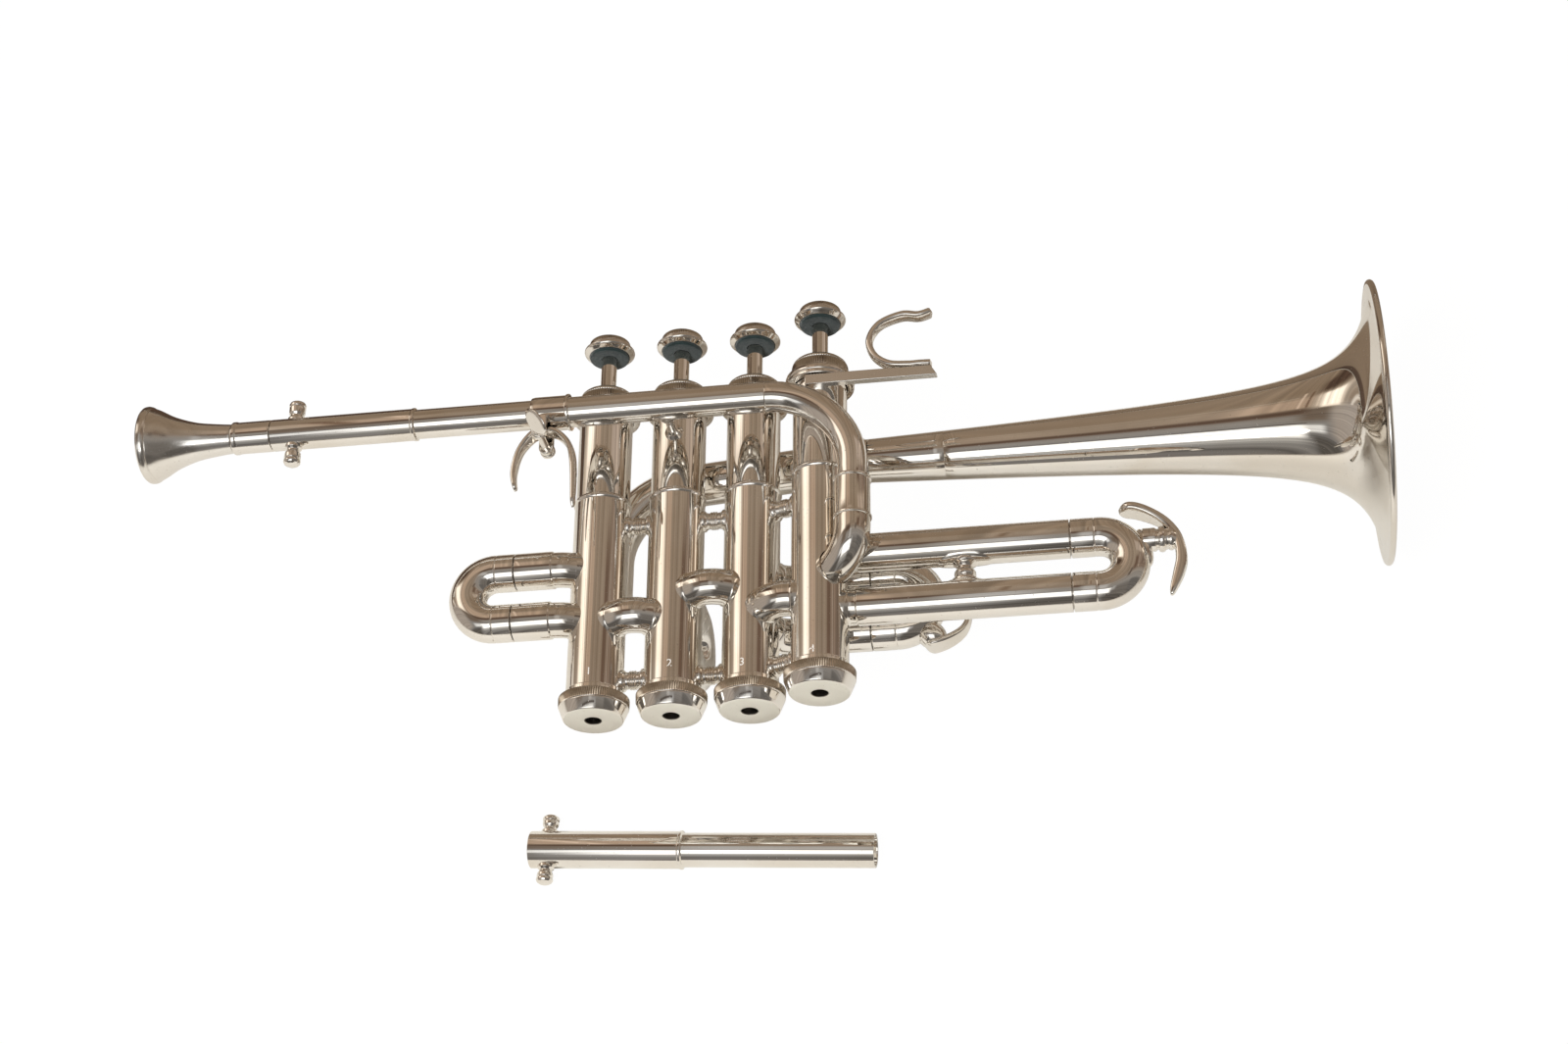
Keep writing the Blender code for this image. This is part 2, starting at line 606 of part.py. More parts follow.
def make_knuckle(first, second, spread, height):
    """A bow between two ports that are each turned by the spread from the line of axes."""
    lift = Vector((0, 0, height))
    start, end = valve_axis(first) + lift, valve_axis(second) + lift
    span = end - start
    line = math.degrees(math.atan2(span.y, span.x))
    leave, arrive = compass(line - spread), compass(line + 180 + spread)
    corner = start + leave * (span.length / 2 / math.cos(math.radians(spread)))
    inside = CASING_RADIUS / 2
    route = rounded_route([start + leave * inside, corner, end + arrive * inside], KNUCKLE_BEND, steps=3)
    name = "knuckle_%d_%d" % (first, second)
    knuckle = swept(name, route, TUBE_RADIUS, "nickel_silver", place=corner, sides=SLIDE_SIDES)
    carve(knuckle, swept(name + "_bore", route, TUBE_BORE, sides=BORE_SIDES, past_ends=BORE_PAST_END))
    for number in (first, second):
        carve(knuckle, ENVELOPES[number])
    bore_casing(first, line - spread, height)
    bore_casing(second, line + 180 + spread, height)
    bore_piston(first, line - spread, height)


for (first, second), (spread, height) in KNUCKLES.items():
    make_knuckle(first, second, spread, height)


# Valve slides: two fixed outer legs each, and a crook that pulls out of them
def slide_point(number, distance, height):
    """A point on a slide leg's axis, at a distance from its valve's axis along the slide's heading."""
    slide = SLIDES[number]
    heading = Vector((*slide["heading"], 0))
    return valve_axis(number) + heading * distance + Vector((0, slide["aside"], height))


def crook_size(number):
    """The distance of a crook's centre from its valve's axis, and the bend's radius."""
    slide = SLIDES[number]
    centre = CASING_RADIUS + slide["reach"] + slide["ferrule"] + slide["plain"]
    return centre, (slide["upper"] - slide["lower"]) / 2


def crook_route(number, start):
    """The half turn between a slide's two legs, from a given distance out and back to it."""
    slide = SLIDES[number]
    centre, radius = crook_size(number)
    corners = [slide_point(number, start, slide["upper"]),
               slide_point(number, centre + radius, slide["upper"]),
               slide_point(number, centre + radius, slide["lower"]),
               slide_point(number, start, slide["lower"])]
    return rounded_route(corners, radius, steps=3)


def make_leg(number, level):
    """An outer tube from its port on the casing, round to the slide's heading and out to its mouth."""
    slide = SLIDES[number]
    height = slide[level]
    port = compass(slide["port"])
    axis = valve_axis(number) + Vector((0, 0, height))
    far = CASING_RADIUS + slide["reach"]
    mouth = slide_point(number, far, height)
    sleeve = slide_point(number, far - slide["sleeve"], height)
    socket = slide_point(number, far - slide["socket"], height)
    bend = [axis + port * CASING_RADIUS / 2]
    if slide["aside"]:
        corner = axis + port * (slide["aside"] / port.y)
        bend = rounded_route([bend[0], corner, sleeve], slide["bend"], steps=3)[:-1]
    lip = (mouth - sleeve).normalized() * LIP
    plain = len(bend) + 1
    name = "slide_%d_%s_leg" % (number, level)
    leg = swept(name, bend + [sleeve, sleeve + lip, mouth], [TUBE_RADIUS] * plain + [SLEEVE_RADIUS] * 2,
                "nickel_silver", place=mouth, sides=SLIDE_SIDES)
    carve(leg, ENVELOPES[number])
    carve(leg, swept(name + "_bore", bend + [socket, socket + lip, mouth],
                     [TUBE_BORE] * plain + [SOCKET_RADIUS] * 2, sides=SLIDE_SIDES, past_ends=BORE_PAST_END))
    bore_casing(number, slide["port"], height)


def make_crook(number):
    """The moving slide: two inner legs, their ferrules and the crook, as one bent tube."""
    slide = SLIDES[number]
    mouth = CASING_RADIUS + slide["reach"]
    inner = mouth - slide["socket"] + 1.5 * MM
    ferrule = mouth + JOINT_GAP
    shoulder = mouth + slide["ferrule"]
    half = crook_route(number, shoulder)
    entry = [(inner, SLIDE_RADIUS), (ferrule, SLIDE_RADIUS), (ferrule + LIP, FERRULE_RADIUS),
             (shoulder - LIP, FERRULE_RADIUS)]
    upper = [slide_point(number, distance, slide["upper"]) for distance, _ in entry]
    lower = [slide_point(number, distance, slide["lower"]) for distance, _ in reversed(entry)]
    sizes = [size for _, size in entry]
    middle = (slide["upper"] + slide["lower"]) / 2
    name = "slide_%d_crook" % number
    crook = swept(name, upper + half + lower, sizes + [SLEEVE_RADIUS] * len(half) + sizes[::-1],
                  "nickel_silver", place=slide_point(number, mouth, middle), sides=SLIDE_SIDES)
    carve(crook, swept(name + "_bore", [upper[0]] + half + [lower[-1]], SLIDE_BORE, sides=BORE_SIDES,
                       past_ends=BORE_PAST_END))


for number, slide in SLIDES.items():
    make_leg(number, "upper")
    make_leg(number, "lower")
    make_crook(number)
    bore_piston(number, slide["port"], slide["upper"] + PISTON_TRAVEL)


def make_strut(first, second, height, radius):
    """A waisted post that belongs to the first casing and stops just short of the next."""
    lift = Vector((0, 0, height))
    start, end = valve_axis(first) + lift, valve_axis(second) + lift
    along = (end - start).normalized()
    near = CASING_RADIUS - 0.6 * MM
    far = (end - start).length - CASING_RADIUS - JOINT_GAP
    middle = (near + far) / 2
    stations = [(near, radius * 1.15), (middle, radius * 0.8), (far, radius * 1.15)]
    route = [start + along * distance for distance, _ in stations]
    name = "strut_%d_%d_%d" % (first, second, round(height / MM))
    strut = swept(name, route, [size for _, size in stations], sides=BORE_SIDES)
    carve(strut, ENVELOPES[second])
    carve(CASINGS[first], strut, "UNION")


for height, radius in STRUTS.items():
    for first, second in KNUCKLES:
        make_strut(first, second, height, radius)


def make_brace():
    """The fourth slide's brace, a small post with a saddle on each leg."""
    along = slide_point(4, CASING_RADIUS + SLIDES[4]["reach"] - BRACE_FROM_MOUTH, 0)
    low = SLIDES[4]["lower"] + SLEEVE_RADIUS - 0.25 * MM
    high = SLIDES[4]["upper"] - SLEEVE_RADIUS + 0.25 * MM
    outline = [(0, high), (3.2 * MM, high), (2.3 * MM, high - 1.4 * MM), (2.3 * MM, low + 2.2 * MM),
               (4.2 * MM, low), (0, low)]
    brace = turned("fourth_slide_brace", outline, "nickel_silver", place=along)
    for level in ("upper", "lower"):
        centre = along + Vector((0, 0, SLIDES[4][level]))
        reach = Vector((8 * MM, 0, 0))
        carve(brace, swept("brace_seat_" + level, [centre - reach, centre + reach],
                           SLEEVE_RADIUS + JOINT_GAP, sides=SLIDE_SIDES))


make_brace()


# Leadpipe: receiver, straight run and the quarter bend beside valve 4
def on_pipe(along):
    """A point on the leadpipe's straight axis."""
    return Vector((along, PIPE_ASIDE, PIPE_HEIGHT))


pipe_end = Vector((PIPE_DROP_ALONG, PIPE_ASIDE, PIPE_END_HEIGHT))
bend = rounded_route([on_pipe(RECEIVER_END), on_pipe(PIPE_DROP_ALONG), pipe_end], PIPE_BEND_RADIUS)
receiver = [
    (RECEIVER_START, RECEIVER_RADIUS - 0.2 * MM),
    (RECEIVER_START + RING_LENGTH, RECEIVER_RADIUS),
    (RECEIVER_END - RING_LENGTH, RECEIVER_RADIUS),
    (RECEIVER_END - RING_LENGTH + LIP, RECEIVER_RADIUS + RING_OUT),
    (RECEIVER_END - LIP, RECEIVER_RADIUS + RING_OUT),
]
pipe_radii = [size for _, size in receiver] + [PIPE_RADIUS] * len(bend)
leadpipe = swept("leadpipe", [on_pipe(along) for along, _ in receiver] + bend, pipe_radii, "nickel_silver",
                 place=on_pipe(0))
shoulder = RECEIVER_END - SOCKET_STOP_SHORT
bore_route = [on_pipe(RECEIVER_START), on_pipe(shoulder), on_pipe(shoulder + LIP)] + bend[1:]
bore_radii = [RECEIVER_BORE] * 2 + [PIPE_BORE] * (len(bore_route) - 2)
carve(leadpipe, swept("leadpipe_bore", bore_route, bore_radii, past_ends=BORE_PAST_END))

# Clamp ears hang from the receiver on either side of the thumb saddle's strip
ear_offset = SADDLE_WIDTH / 2 + JOINT_GAP
for side, word in ((-1, "near"), (1, "far")):
    inner = PIPE_ASIDE + side * ear_offset
    outer = inner + side * EAR_THICKNESS
    low = (CLAMP_ALONG - EAR_WIDTH / 2, min(inner, outer), CLAMP_HEIGHT - CLAMP_SCREW_RADIUS - 1.25 * MM)
    high = (CLAMP_ALONG + EAR_WIDTH / 2, max(inner, outer), PIPE_HEIGHT - 0.8 * MM)
    ear = box("clamp_ear_" + word, low, high)
    carve(ear, swept("ear_bore_" + word, [on_pipe(RECEIVER_START), on_pipe(RECEIVER_END)],
                     RECEIVER_BORE + 0.15 * MM, past_ends=2 * BORE_PAST_END))
    carve(leadpipe, ear, "UNION")
clamp_axis = Vector((CLAMP_ALONG, PIPE_ASIDE, CLAMP_HEIGHT))
hole_reach = Vector((0, 2 * ear_offset + 2 * EAR_THICKNESS, 0))
carve(leadpipe, swept("clamp_hole", [clamp_axis - hole_reach, clamp_axis + hole_reach],
                      CLAMP_SCREW_RADIUS + RUNNING_GAP, sides=BORE_SIDES))

# Clamp screw: an oval thumb plate, a collar, the shaft and its round nut, turning in the ears
SCREW_HEAD = ear_offset + EAR_THICKNESS + RUNNING_GAP
screw_outline = [
    (0, SCREW_HEAD + 4.7 * MM),
    (2.1 * MM, SCREW_HEAD + 3.3 * MM),
    (2.1 * MM, SCREW_HEAD),
    (CLAMP_SCREW_RADIUS, SCREW_HEAD),
    (CLAMP_SCREW_RADIUS, -SCREW_HEAD),
    (2.4 * MM, -SCREW_HEAD),
    (2.4 * MM, -SCREW_HEAD - 1.6 * MM),
    (1.5 * MM, -SCREW_HEAD - 2.0 * MM),
    (1.5 * MM, -SCREW_HEAD - 3.4 * MM),
    (0, -SCREW_HEAD - 3.4 * MM),
]
clamp_screw = turned("clamp_screw", screw_outline, "nickel_silver", place=clamp_axis, along="Y",
                     steps=FEW_STEPS)
wing_edge = WING_LENGTH / 2 - 0.5 * MM
wing_outline = [(0, WING_THICKNESS / 2), (wing_edge, WING_THICKNESS / 2), (WING_LENGTH / 2, 0),
                (wing_edge, -WING_THICKNESS / 2), (0, -WING_THICKNESS / 2)]
wing_centre = clamp_axis - Vector((0, SCREW_HEAD + 3.0 * MM + WING_LENGTH / 2, 0))
wing = turned("clamp_wing", wing_outline, place=wing_centre, steps=FEW_STEPS)
wing.rotation_euler = (0, math.radians(50), 0)
carve(clamp_screw, wing, "UNION")

# Thumb saddle: an inverted U strip soldered under the receiver
saddle_top = PIPE_HEIGHT - RECEIVER_RADIUS - JOINT_GAP - SADDLE_THICKNESS / 2
SADDLE_SHAPE = [(-8.4, -22.1, 0.5), (-9.3, -15.2, 0.8), (-7.6, -6.9, 1), (-3.2, -1.0, 1), (1.0, 0, 1),
                (5.2, -1.0, 1), (9.4, -5.9, 1), (11.1, -13.9, 0.9), (11.6, -29.8, 0.5)]
saddle_knots = [(CLAMP_ALONG + along * MM, PIPE_ASIDE, saddle_top + rise * MM, SADDLE_WIDTH * share)
                for along, rise, share in SADDLE_SHAPE]
thumb_saddle = strip("thumb_saddle", smooth_route(saddle_knots, 2), SADDLE_THICKNESS, "nickel_silver",
                     (CLAMP_ALONG, PIPE_ASIDE, saddle_top))
carve(thumb_saddle, swept("saddle_relief", [on_pipe(RECEIVER_START - 9 * MM), on_pipe(RECEIVER_END + 9 * MM)],
                          RECEIVER_RADIUS + RING_OUT + JOINT_GAP))

# Elbow: the leadpipe's lower sleeve with a ring at each end, and the bend into valve 4
port_place = valve_axis(4) + Vector((0, 0, ELBOW_PORT_HEIGHT))
elbow_foot = Vector((PIPE_DROP_ALONG, PIPE_ASIDE, ELBOW_PORT_HEIGHT))
elbow_way = (elbow_foot - port_place).normalized()
elbow_top = pipe_end - Vector((0, 0, JOINT_GAP))
sleeve_length = elbow_top.z - ELBOW_PORT_HEIGHT - ELBOW_BEND_RADIUS - ELBOW_PLAIN
rings = [(0, RING_OUT), (0.9 * MM, RING_OUT), (1.2 * MM, 0), (sleeve_length - 1.2 * MM, 0),
         (sleeve_length - 0.9 * MM, RING_OUT), (sleeve_length, RING_OUT), (sleeve_length + LIP, 0)]
ring_route = [elbow_top - Vector((0, 0, drop)) for drop, _ in rings]
turn = rounded_route([ring_route[-1], elbow_foot, port_place + elbow_way * CASING_RADIUS / 2],
                     ELBOW_BEND_RADIUS, steps=5)
elbow_radii = [ELBOW_RADIUS + out for _, out in rings] + [ELBOW_RADIUS] * (len(turn) - 1)
elbow = swept("leadpipe_elbow", ring_route + turn[1:], elbow_radii, "nickel_silver", place=elbow_top)
carve(elbow, swept("leadpipe_elbow_bore", [elbow_top] + turn[1:], PIPE_BORE, sides=BORE_SIDES,
                   past_ends=BORE_PAST_END))
carve(elbow, ENVELOPES[4])
beside = [slide_point(4, distance, SLIDES[4]["upper"]) for distance in (0, 3 * CASING_RADIUS)]
carve(elbow, swept("elbow_relief", beside, SLEEVE_RADIUS + JOINT_GAP, sides=SLIDE_SIDES))
bore_casing(4, math.degrees(math.atan2(elbow_way.y, elbow_way.x)), ELBOW_PORT_HEIGHT)

# Tuning shanks: sleeve, narrow end and a pair of pull knobs, one fitted and one spare
KNOB_SHAPE = [(0, 0), (2.3, 0.2), (3.0, 1.4), (1.4, 3.0), (1.4, 4.8), (3.0, 6.4)]
KNOB_SHAPE_RISE = 7.3 * MM      # the sleeve's surface lies this far below the tip in that shape


def make_shank(name, place, extra, holder=None):
    """A tuning shank along +X, from the mouthpiece end to the narrow end."""
    sleeve = SHANK_SLEEVE_LENGTH + extra
    length = sleeve + SHANK_NARROW_LENGTH
    bead = SHANK_SLEEVE_RADIUS + SHANK_BEAD
    outline = [
        (SHANK_NARROW_RADIUS, length),
        (SHANK_NARROW_RADIUS, sleeve + LIP),
        (SHANK_SLEEVE_RADIUS, sleeve),
        (SHANK_SLEEVE_RADIUS, 1.6 * MM),
        (bead, 1.2 * MM),
        (bead, 0),
        (SHANK_SOCKET, 0),
        (SHANK_SOCKET, ADAPTER_PLUG + 1 * MM),
        (SHANK_BORE, ADAPTER_PLUG + 2 * MM),
        (SHANK_BORE, length),
    ]
    shank = turned(name, outline, "nickel_silver", place=place, along="X", ring=True, holder=holder)
    stretch = (KNOB_REACH - SHANK_SLEEVE_RADIUS) / KNOB_SHAPE_RISE
    for word, lean in (("upper", 0), ("lower", math.pi)):
        root = SHANK_SOCKET + 0.3 * MM
        knob_outline = [(radius * MM, KNOB_REACH - drop * stretch * MM) for radius, drop in KNOB_SHAPE]
        knob_outline += [(KNOB_SHAPE[-1][0] * MM, root), (0, root)]
        knob = turned("%s_%s_knob" % (name, word), knob_outline, steps=FEW_STEPS, holder=holder)
        knob.rotation_euler = (lean, 0, 0)
        knob.location = Vector(place) + Vector((KNOB_PLACE, 0, 0))
        carve(shank, knob, "UNION")


make_shank("tuning_shank", on_pipe(SHANK_START), 0)
table_aside = BELL_ASIDE + BELL_RADIUS + BELL_BEAD
spare_place = (SPARE_START_ALONG, table_aside - SHANK_SLEEVE_RADIUS - SHANK_BEAD, SPARE_START_HEIGHT)
spare_holder = new_empty("spare_shank_place", spare_place, INSTRUMENT)
spare_holder.rotation_euler = (0, -SPARE_TILT, 0)
make_shank("spare_shank", (0, 0, 0), SPARE_EXTRA_LENGTH, spare_holder)

# Mouthpiece and the adapter that takes its shank
adapter_body = ADAPTER_LENGTH - JOINT_GAP
adapter_outline = [
    (PLUG_RADIUS, adapter_body + ADAPTER_PLUG),
    (PLUG_RADIUS, adapter_body),
    (SHANK_SLEEVE_RADIUS - 0.3 * MM, adapter_body),
    (SHANK_SLEEVE_RADIUS, adapter_body - 0.6 * MM),
    (SHANK_SLEEVE_RADIUS, 1.6 * MM),
    (SOCKET_MOUTH, 0),
    (SOCKET_END, adapter_body - 3 * MM),
    (PLUG_RADIUS - PLUG_WALL, adapter_body - 2 * MM),
    (PLUG_RADIUS - PLUG_WALL, adapter_body + ADAPTER_PLUG),
]
turned("mouthpiece_adapter", adapter_outline, "nickel_silver", place=on_pipe(ADAPTER_START), along="X",
       ring=True)
stop = MOUTHPIECE_LENGTH - JOINT_GAP
tip = stop + adapter_body - 3.3 * MM
cup = [(THROAT_RADIUS + (CUP_RADIUS - THROAT_RADIUS) * (1 - depth * depth), CUP_DEPTH * depth + 1.2 * MM)
       for depth in (0.0, 0.4, 0.75, 1.0)]
mouthpiece_outline = [
    (MOUTHPIECE_SHANK, tip),
    (MOUTHPIECE_SHANK, stop),
    (SOCKET_MOUTH + 0.25 * MM, stop),
    (MOUTHPIECE_RADIUS * 0.38, stop - 1.7 * MM),
    (MOUTHPIECE_RADIUS * 0.5, stop * 0.58),
    (MOUTHPIECE_RADIUS * 0.67, stop * 0.345),
    (MOUTHPIECE_RADIUS * 0.92, stop * 0.14),
    (MOUTHPIECE_RADIUS, 1.2 * MM),
    (MOUTHPIECE_RADIUS - 2.5 * MM, 0),
    (CUP_RADIUS + 1 * MM, 0.5 * MM),
]
mouthpiece_outline += cup
mouthpiece_outline += [(THROAT_RADIUS, CUP_DEPTH + 6.5 * MM), (MOUTHPIECE_SHANK - MOUTHPIECE_WALL, tip)]
turned("mouthpiece", mouthpiece_outline, "nickel_silver", place=on_pipe(MOUTHPIECE_RIM), along="X", ring=True)

# Post from the leadpipe to valve 2's upper casing
post_near = PIPE_ASIDE + PIPE_RADIUS - 0.4 * MM
post_length = -UPPER_CASING_RADIUS + 0.4 * MM - post_near
post_outline = [
    (0, post_length),
    (3.2 * MM, post_length),
    (1.7 * MM, post_length - 2.4 * MM),
    (1.7 * MM, 2.6 * MM),
    (3.0 * MM, 0),
    (0, 0),
]
post = turned("leadpipe_post", post_outline, "nickel_silver", place=(0, post_near, PIPE_HEIGHT - 1.5 * MM),
              along="Y")
carve(post, swept("post_pipe_seat", [on_pipe(-9 * MM), on_pipe(9 * MM)], PIPE_RADIUS + JOINT_GAP))
carve(post, ENVELOPES[2])


def bell_radius(from_rim):
    """The bell's law: a narrow cone to which a horn is added that opens more and more steeply."""
    def horn(distance):
        return (1 + distance / FLARE_REACH) ** -FLARE_POWER

    share = (horn(from_rim) - horn(BELL_LENGTH)) / (1 - horn(BELL_LENGTH))
    cone = BELL_TAPER * (1 - from_rim / BELL_LENGTH)
    return BELL_THROAT_RADIUS + cone + (BELL_RADIUS - BELL_THROAT_RADIUS - BELL_TAPER) * share


def make_bell():
    """Tail, flare and rim bead as one thin shell; the inner side is set in square to the outer."""
    stations = 10
    lip = 0.5 * MM
    outer = []
    for step in range(stations):
        from_rim = lip + (BELL_LENGTH - lip) * (1 - step / (stations - 1)) ** 2.4
        outer.append(Vector((BELL_LENGTH - from_rim, bell_radius(from_rim))))
    inner = []
    for index, point in enumerate(outer):
        ahead = outer[min(index + 1, stations - 1)]
        behind = outer[max(index - 1, 0)]
        slope = (ahead - behind).normalized()
        inner.append(point + Vector((slope.y, -slope.x)) * BELL_WALL)
    inner[0].x = 0
    bead = []
    for degrees in (-70, 20, 110, 200):
        angle = math.radians(degrees)
        out = Vector((math.cos(angle), math.sin(angle)))
        bead.append(Vector((BELL_LENGTH, BELL_RADIUS)) + out * BELL_BEAD)
    outline = [(point.y, point.x) for point in bead + outer[::-1] + inner]
    turned("bell", outline, "nickel_silver", place=(BELL_START, BELL_ASIDE, BELL_HEIGHT), along="X",
           steps=BELL_STEPS, ring=True)


make_bell()

# Bell bow: the tail behind the valves, the half turn behind valve 1 and the elbow into its back
tail_start = Vector((BELL_START - JOINT_GAP, BELL_ASIDE, BELL_HEIGHT))
tail_bend = tail_start - Vector((BOW_STRAIGHT, 0, 0))
behind_first = valve_axis(1) + Vector((0, BELL_ASIDE, 0))


def tail_height(along):
    """The height of the tail's sloping axis at a place along the instrument."""
    return BELL_HEIGHT - (tail_bend.x - along) * math.tan(BOW_SLOPE)


bow_corner = behind_first + Vector((0, 0, tail_height(behind_first.x)))
bow_foot = behind_first + Vector((0, 0, BOW_PORT_HEIGHT))
big_turn = rounded_route([tail_bend, bow_corner, bow_foot], BOW_BEND_RADIUS)[:-1]
bow_end = valve_axis(1) + Vector((0, CASING_RADIUS / 2, BOW_PORT_HEIGHT))
small_turn = rounded_route([big_turn[-1], bow_foot, bow_end], BOW_ELBOW_RADIUS, steps=4)[1:]
bow_route = [tail_start] + big_turn + small_turn
lengths = [0.0]
for before, after in zip(bow_route, bow_route[1:]):
    lengths.append(lengths[-1] + (after - before).length)
bow_radii = [BELL_THROAT_RADIUS - BOW_NARROWING * length / lengths[-1] for length in lengths]
bow = swept("bell_bow", bow_route, bow_radii, "nickel_silver", place=bow_corner)
carve(bow, swept("bell_bow_bore", bow_route, [radius - BOW_WALL for radius in bow_radii], sides=BORE_SIDES,
                 past_ends=BORE_PAST_END))
carve(bow, ENVELOPES[1])
bore_casing(1, 90, BOW_PORT_HEIGHT)

# Bell post: from valve 3's upper casing back to the bell's tail
bell_post_near = UPPER_CASING_RADIUS - 0.6 * MM
bell_post_length = BELL_ASIDE - BELL_THROAT_RADIUS + 1.2 * MM - bell_post_near
bell_post_outline = [(0, bell_post_length), (BELL_POST_RADIUS, bell_post_length), (BELL_POST_RADIUS, 0),
                     (0, 0)]
third_x = valve_axis(3).x
bell_post = turned("bell_post", bell_post_outline, "nickel_silver",
                   place=(third_x, bell_post_near, tail_height(third_x)), along="Y")
carve(bell_post, ENVELOPES[3])
carve(bell_post, swept("bell_post_seat", bow_route[:4], [radius + JOINT_GAP for radius in bow_radii[:4]]))

# Hook bar under valve 4's top cap, with the little finger's hook standing on it
bar_near = FOURTH_ASIDE - UPPER_CASING_RADIUS - BAR_DEPTH + BAR_SEAT
hook_bar = box("hook_bar", (BAR_START, bar_near, BAR_LOW), (BAR_END, bar_near + BAR_DEPTH, BAR_HIGH),
               "nickel_silver")
carve(hook_bar, ENVELOPES[4])
carve(hook_bar, swept("hook_bar_pipe_seat", bend, PIPE_RADIUS + JOINT_GAP))
hook_aside = bar_near + BAR_DEPTH / 2
leg_height = BAR_HIGH + JOINT_GAP + HOOK_THICKNESS / 2
HOOK_SHAPE = [(-1.4, 0), (-10.0, 0), (-16.5, 1.0), (-21.4, 5.0), (-23.0, 11.2), (-19.4, 17.2), (-11.8, 20.5),
              (-1.4, 20.9)]
hook_foot = Vector((BAR_END, hook_aside, leg_height))
hook_knots = [(*(hook_foot + Vector((along, 0, rise)) * MM), HOOK_WIDTH) for along, rise in HOOK_SHAPE]
strip("pinky_hook", smooth_route(hook_knots, 2), HOOK_THICKNESS, "nickel_silver", hook_foot)


def make_crescent(name, number, shape, post_rise):
    """A crescent pull hook: a strip that tapers to its tip, held off the crook by a short post.

    The shape lists steps from the crook's outermost point, in millimetres, and the width's share.
    """
    centre, radius = crook_size(number)
    middle = (SLIDES[number]["upper"] + SLIDES[number]["lower"]) / 2
    outermost = slide_point(number, centre + radius + SLEEVE_RADIUS, middle)
    knots = [(outermost.x + along * MM, outermost.y, outermost.z + rise * MM, CRESCENT_WIDTH * share)
             for along, rise, share in shape]
    hook = strip(name, smooth_route(knots, 2), CRESCENT_THICKNESS, "nickel_silver", outermost)
    lift = Vector((0, 0, post_rise * MM))
    reach = Vector((max(along for along, _, _ in shape) * MM - 0.7 * MM, 0, 0))
    post = swept(name + "_post", [outermost + lift - Vector((1 * MM, 0, 0)), outermost + lift + reach],
                 CRESCENT_POST, sides=BORE_SIDES)
    carve(post, swept(name + "_seat", crook_route(number, centre), SLEEVE_RADIUS + JOINT_GAP,
                      sides=SLIDE_SIDES))
    carve(hook, post, "UNION")


FOURTH_CRESCENT = [(-8.6, 18.2, 0.5), (-5.4, 19.7, 0.95), (0.3, 17.9, 1), (5.6, 12.8, 1), (9.4, 5.8, 0.95),
                   (10.3, -0.5, 0.8), (9.4, -7.0, 0.55), (6.6, -13.4, 0.25)]
THIRD_CRESCENT = [(-8.0, -16.6, 0.6), (-4.4, -17.2, 1), (1.0, -15.4, 1), (5.4, -11.4, 0.95),
                  (7.3, -6.2, 0.75), (6.8, -0.6, 0.35)]
make_crescent("fourth_slide_hook", 4, FOURTH_CRESCENT, 4.85)
make_crescent("third_slide_hook", 3, THIRD_CRESCENT, -2.4)


def lay_on_table():
    """Moves the whole instrument so that its box stands on the table, centred on the origin."""
    bpy.context.view_layer.update()
    graph = bpy.context.evaluated_depsgraph_get()
    spots = []
    for piece in PARTS.objects:
        if piece.type == "MESH":
            shape = piece.evaluated_get(graph)
            spots += [shape.matrix_world @ vertex.co for vertex in shape.data.vertices]
    low = [min(spot[axis] for spot in spots) for axis in range(3)]
    high = [max(spot[axis] for spot in spots) for axis in range(3)]
    INSTRUMENT.location = (-(low[0] + high[0]) / 2, -(low[1] + high[1]) / 2, -low[2])


lay_on_table()
for piece in PARTS.objects:
    if piece.type == "MESH":
        piece.data.shade_smooth()
bpy.context.view_layer.update()
print("pieces:", sum(piece.type == "MESH" for piece in PARTS.objects))
print("instrument placed at", [round(value / MM, 3) for value in INSTRUMENT.location])
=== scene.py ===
# %% [markdown]
# # A four-valve piccolo trumpet on a white table
#
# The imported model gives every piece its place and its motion. This script adds the looks:
# turned and bent metal with fine rims, knurls and joint lines, polished silver plate, felt under
# the finger buttons, a white table and soft studio light. Every cell makes one thing, and the
# text before it says what that thing is on a real trumpet and why it is made this way.

# %% Load the frame
import bisect
import json
import math

import bmesh
import bpy
from mathutils import Matrix, Vector

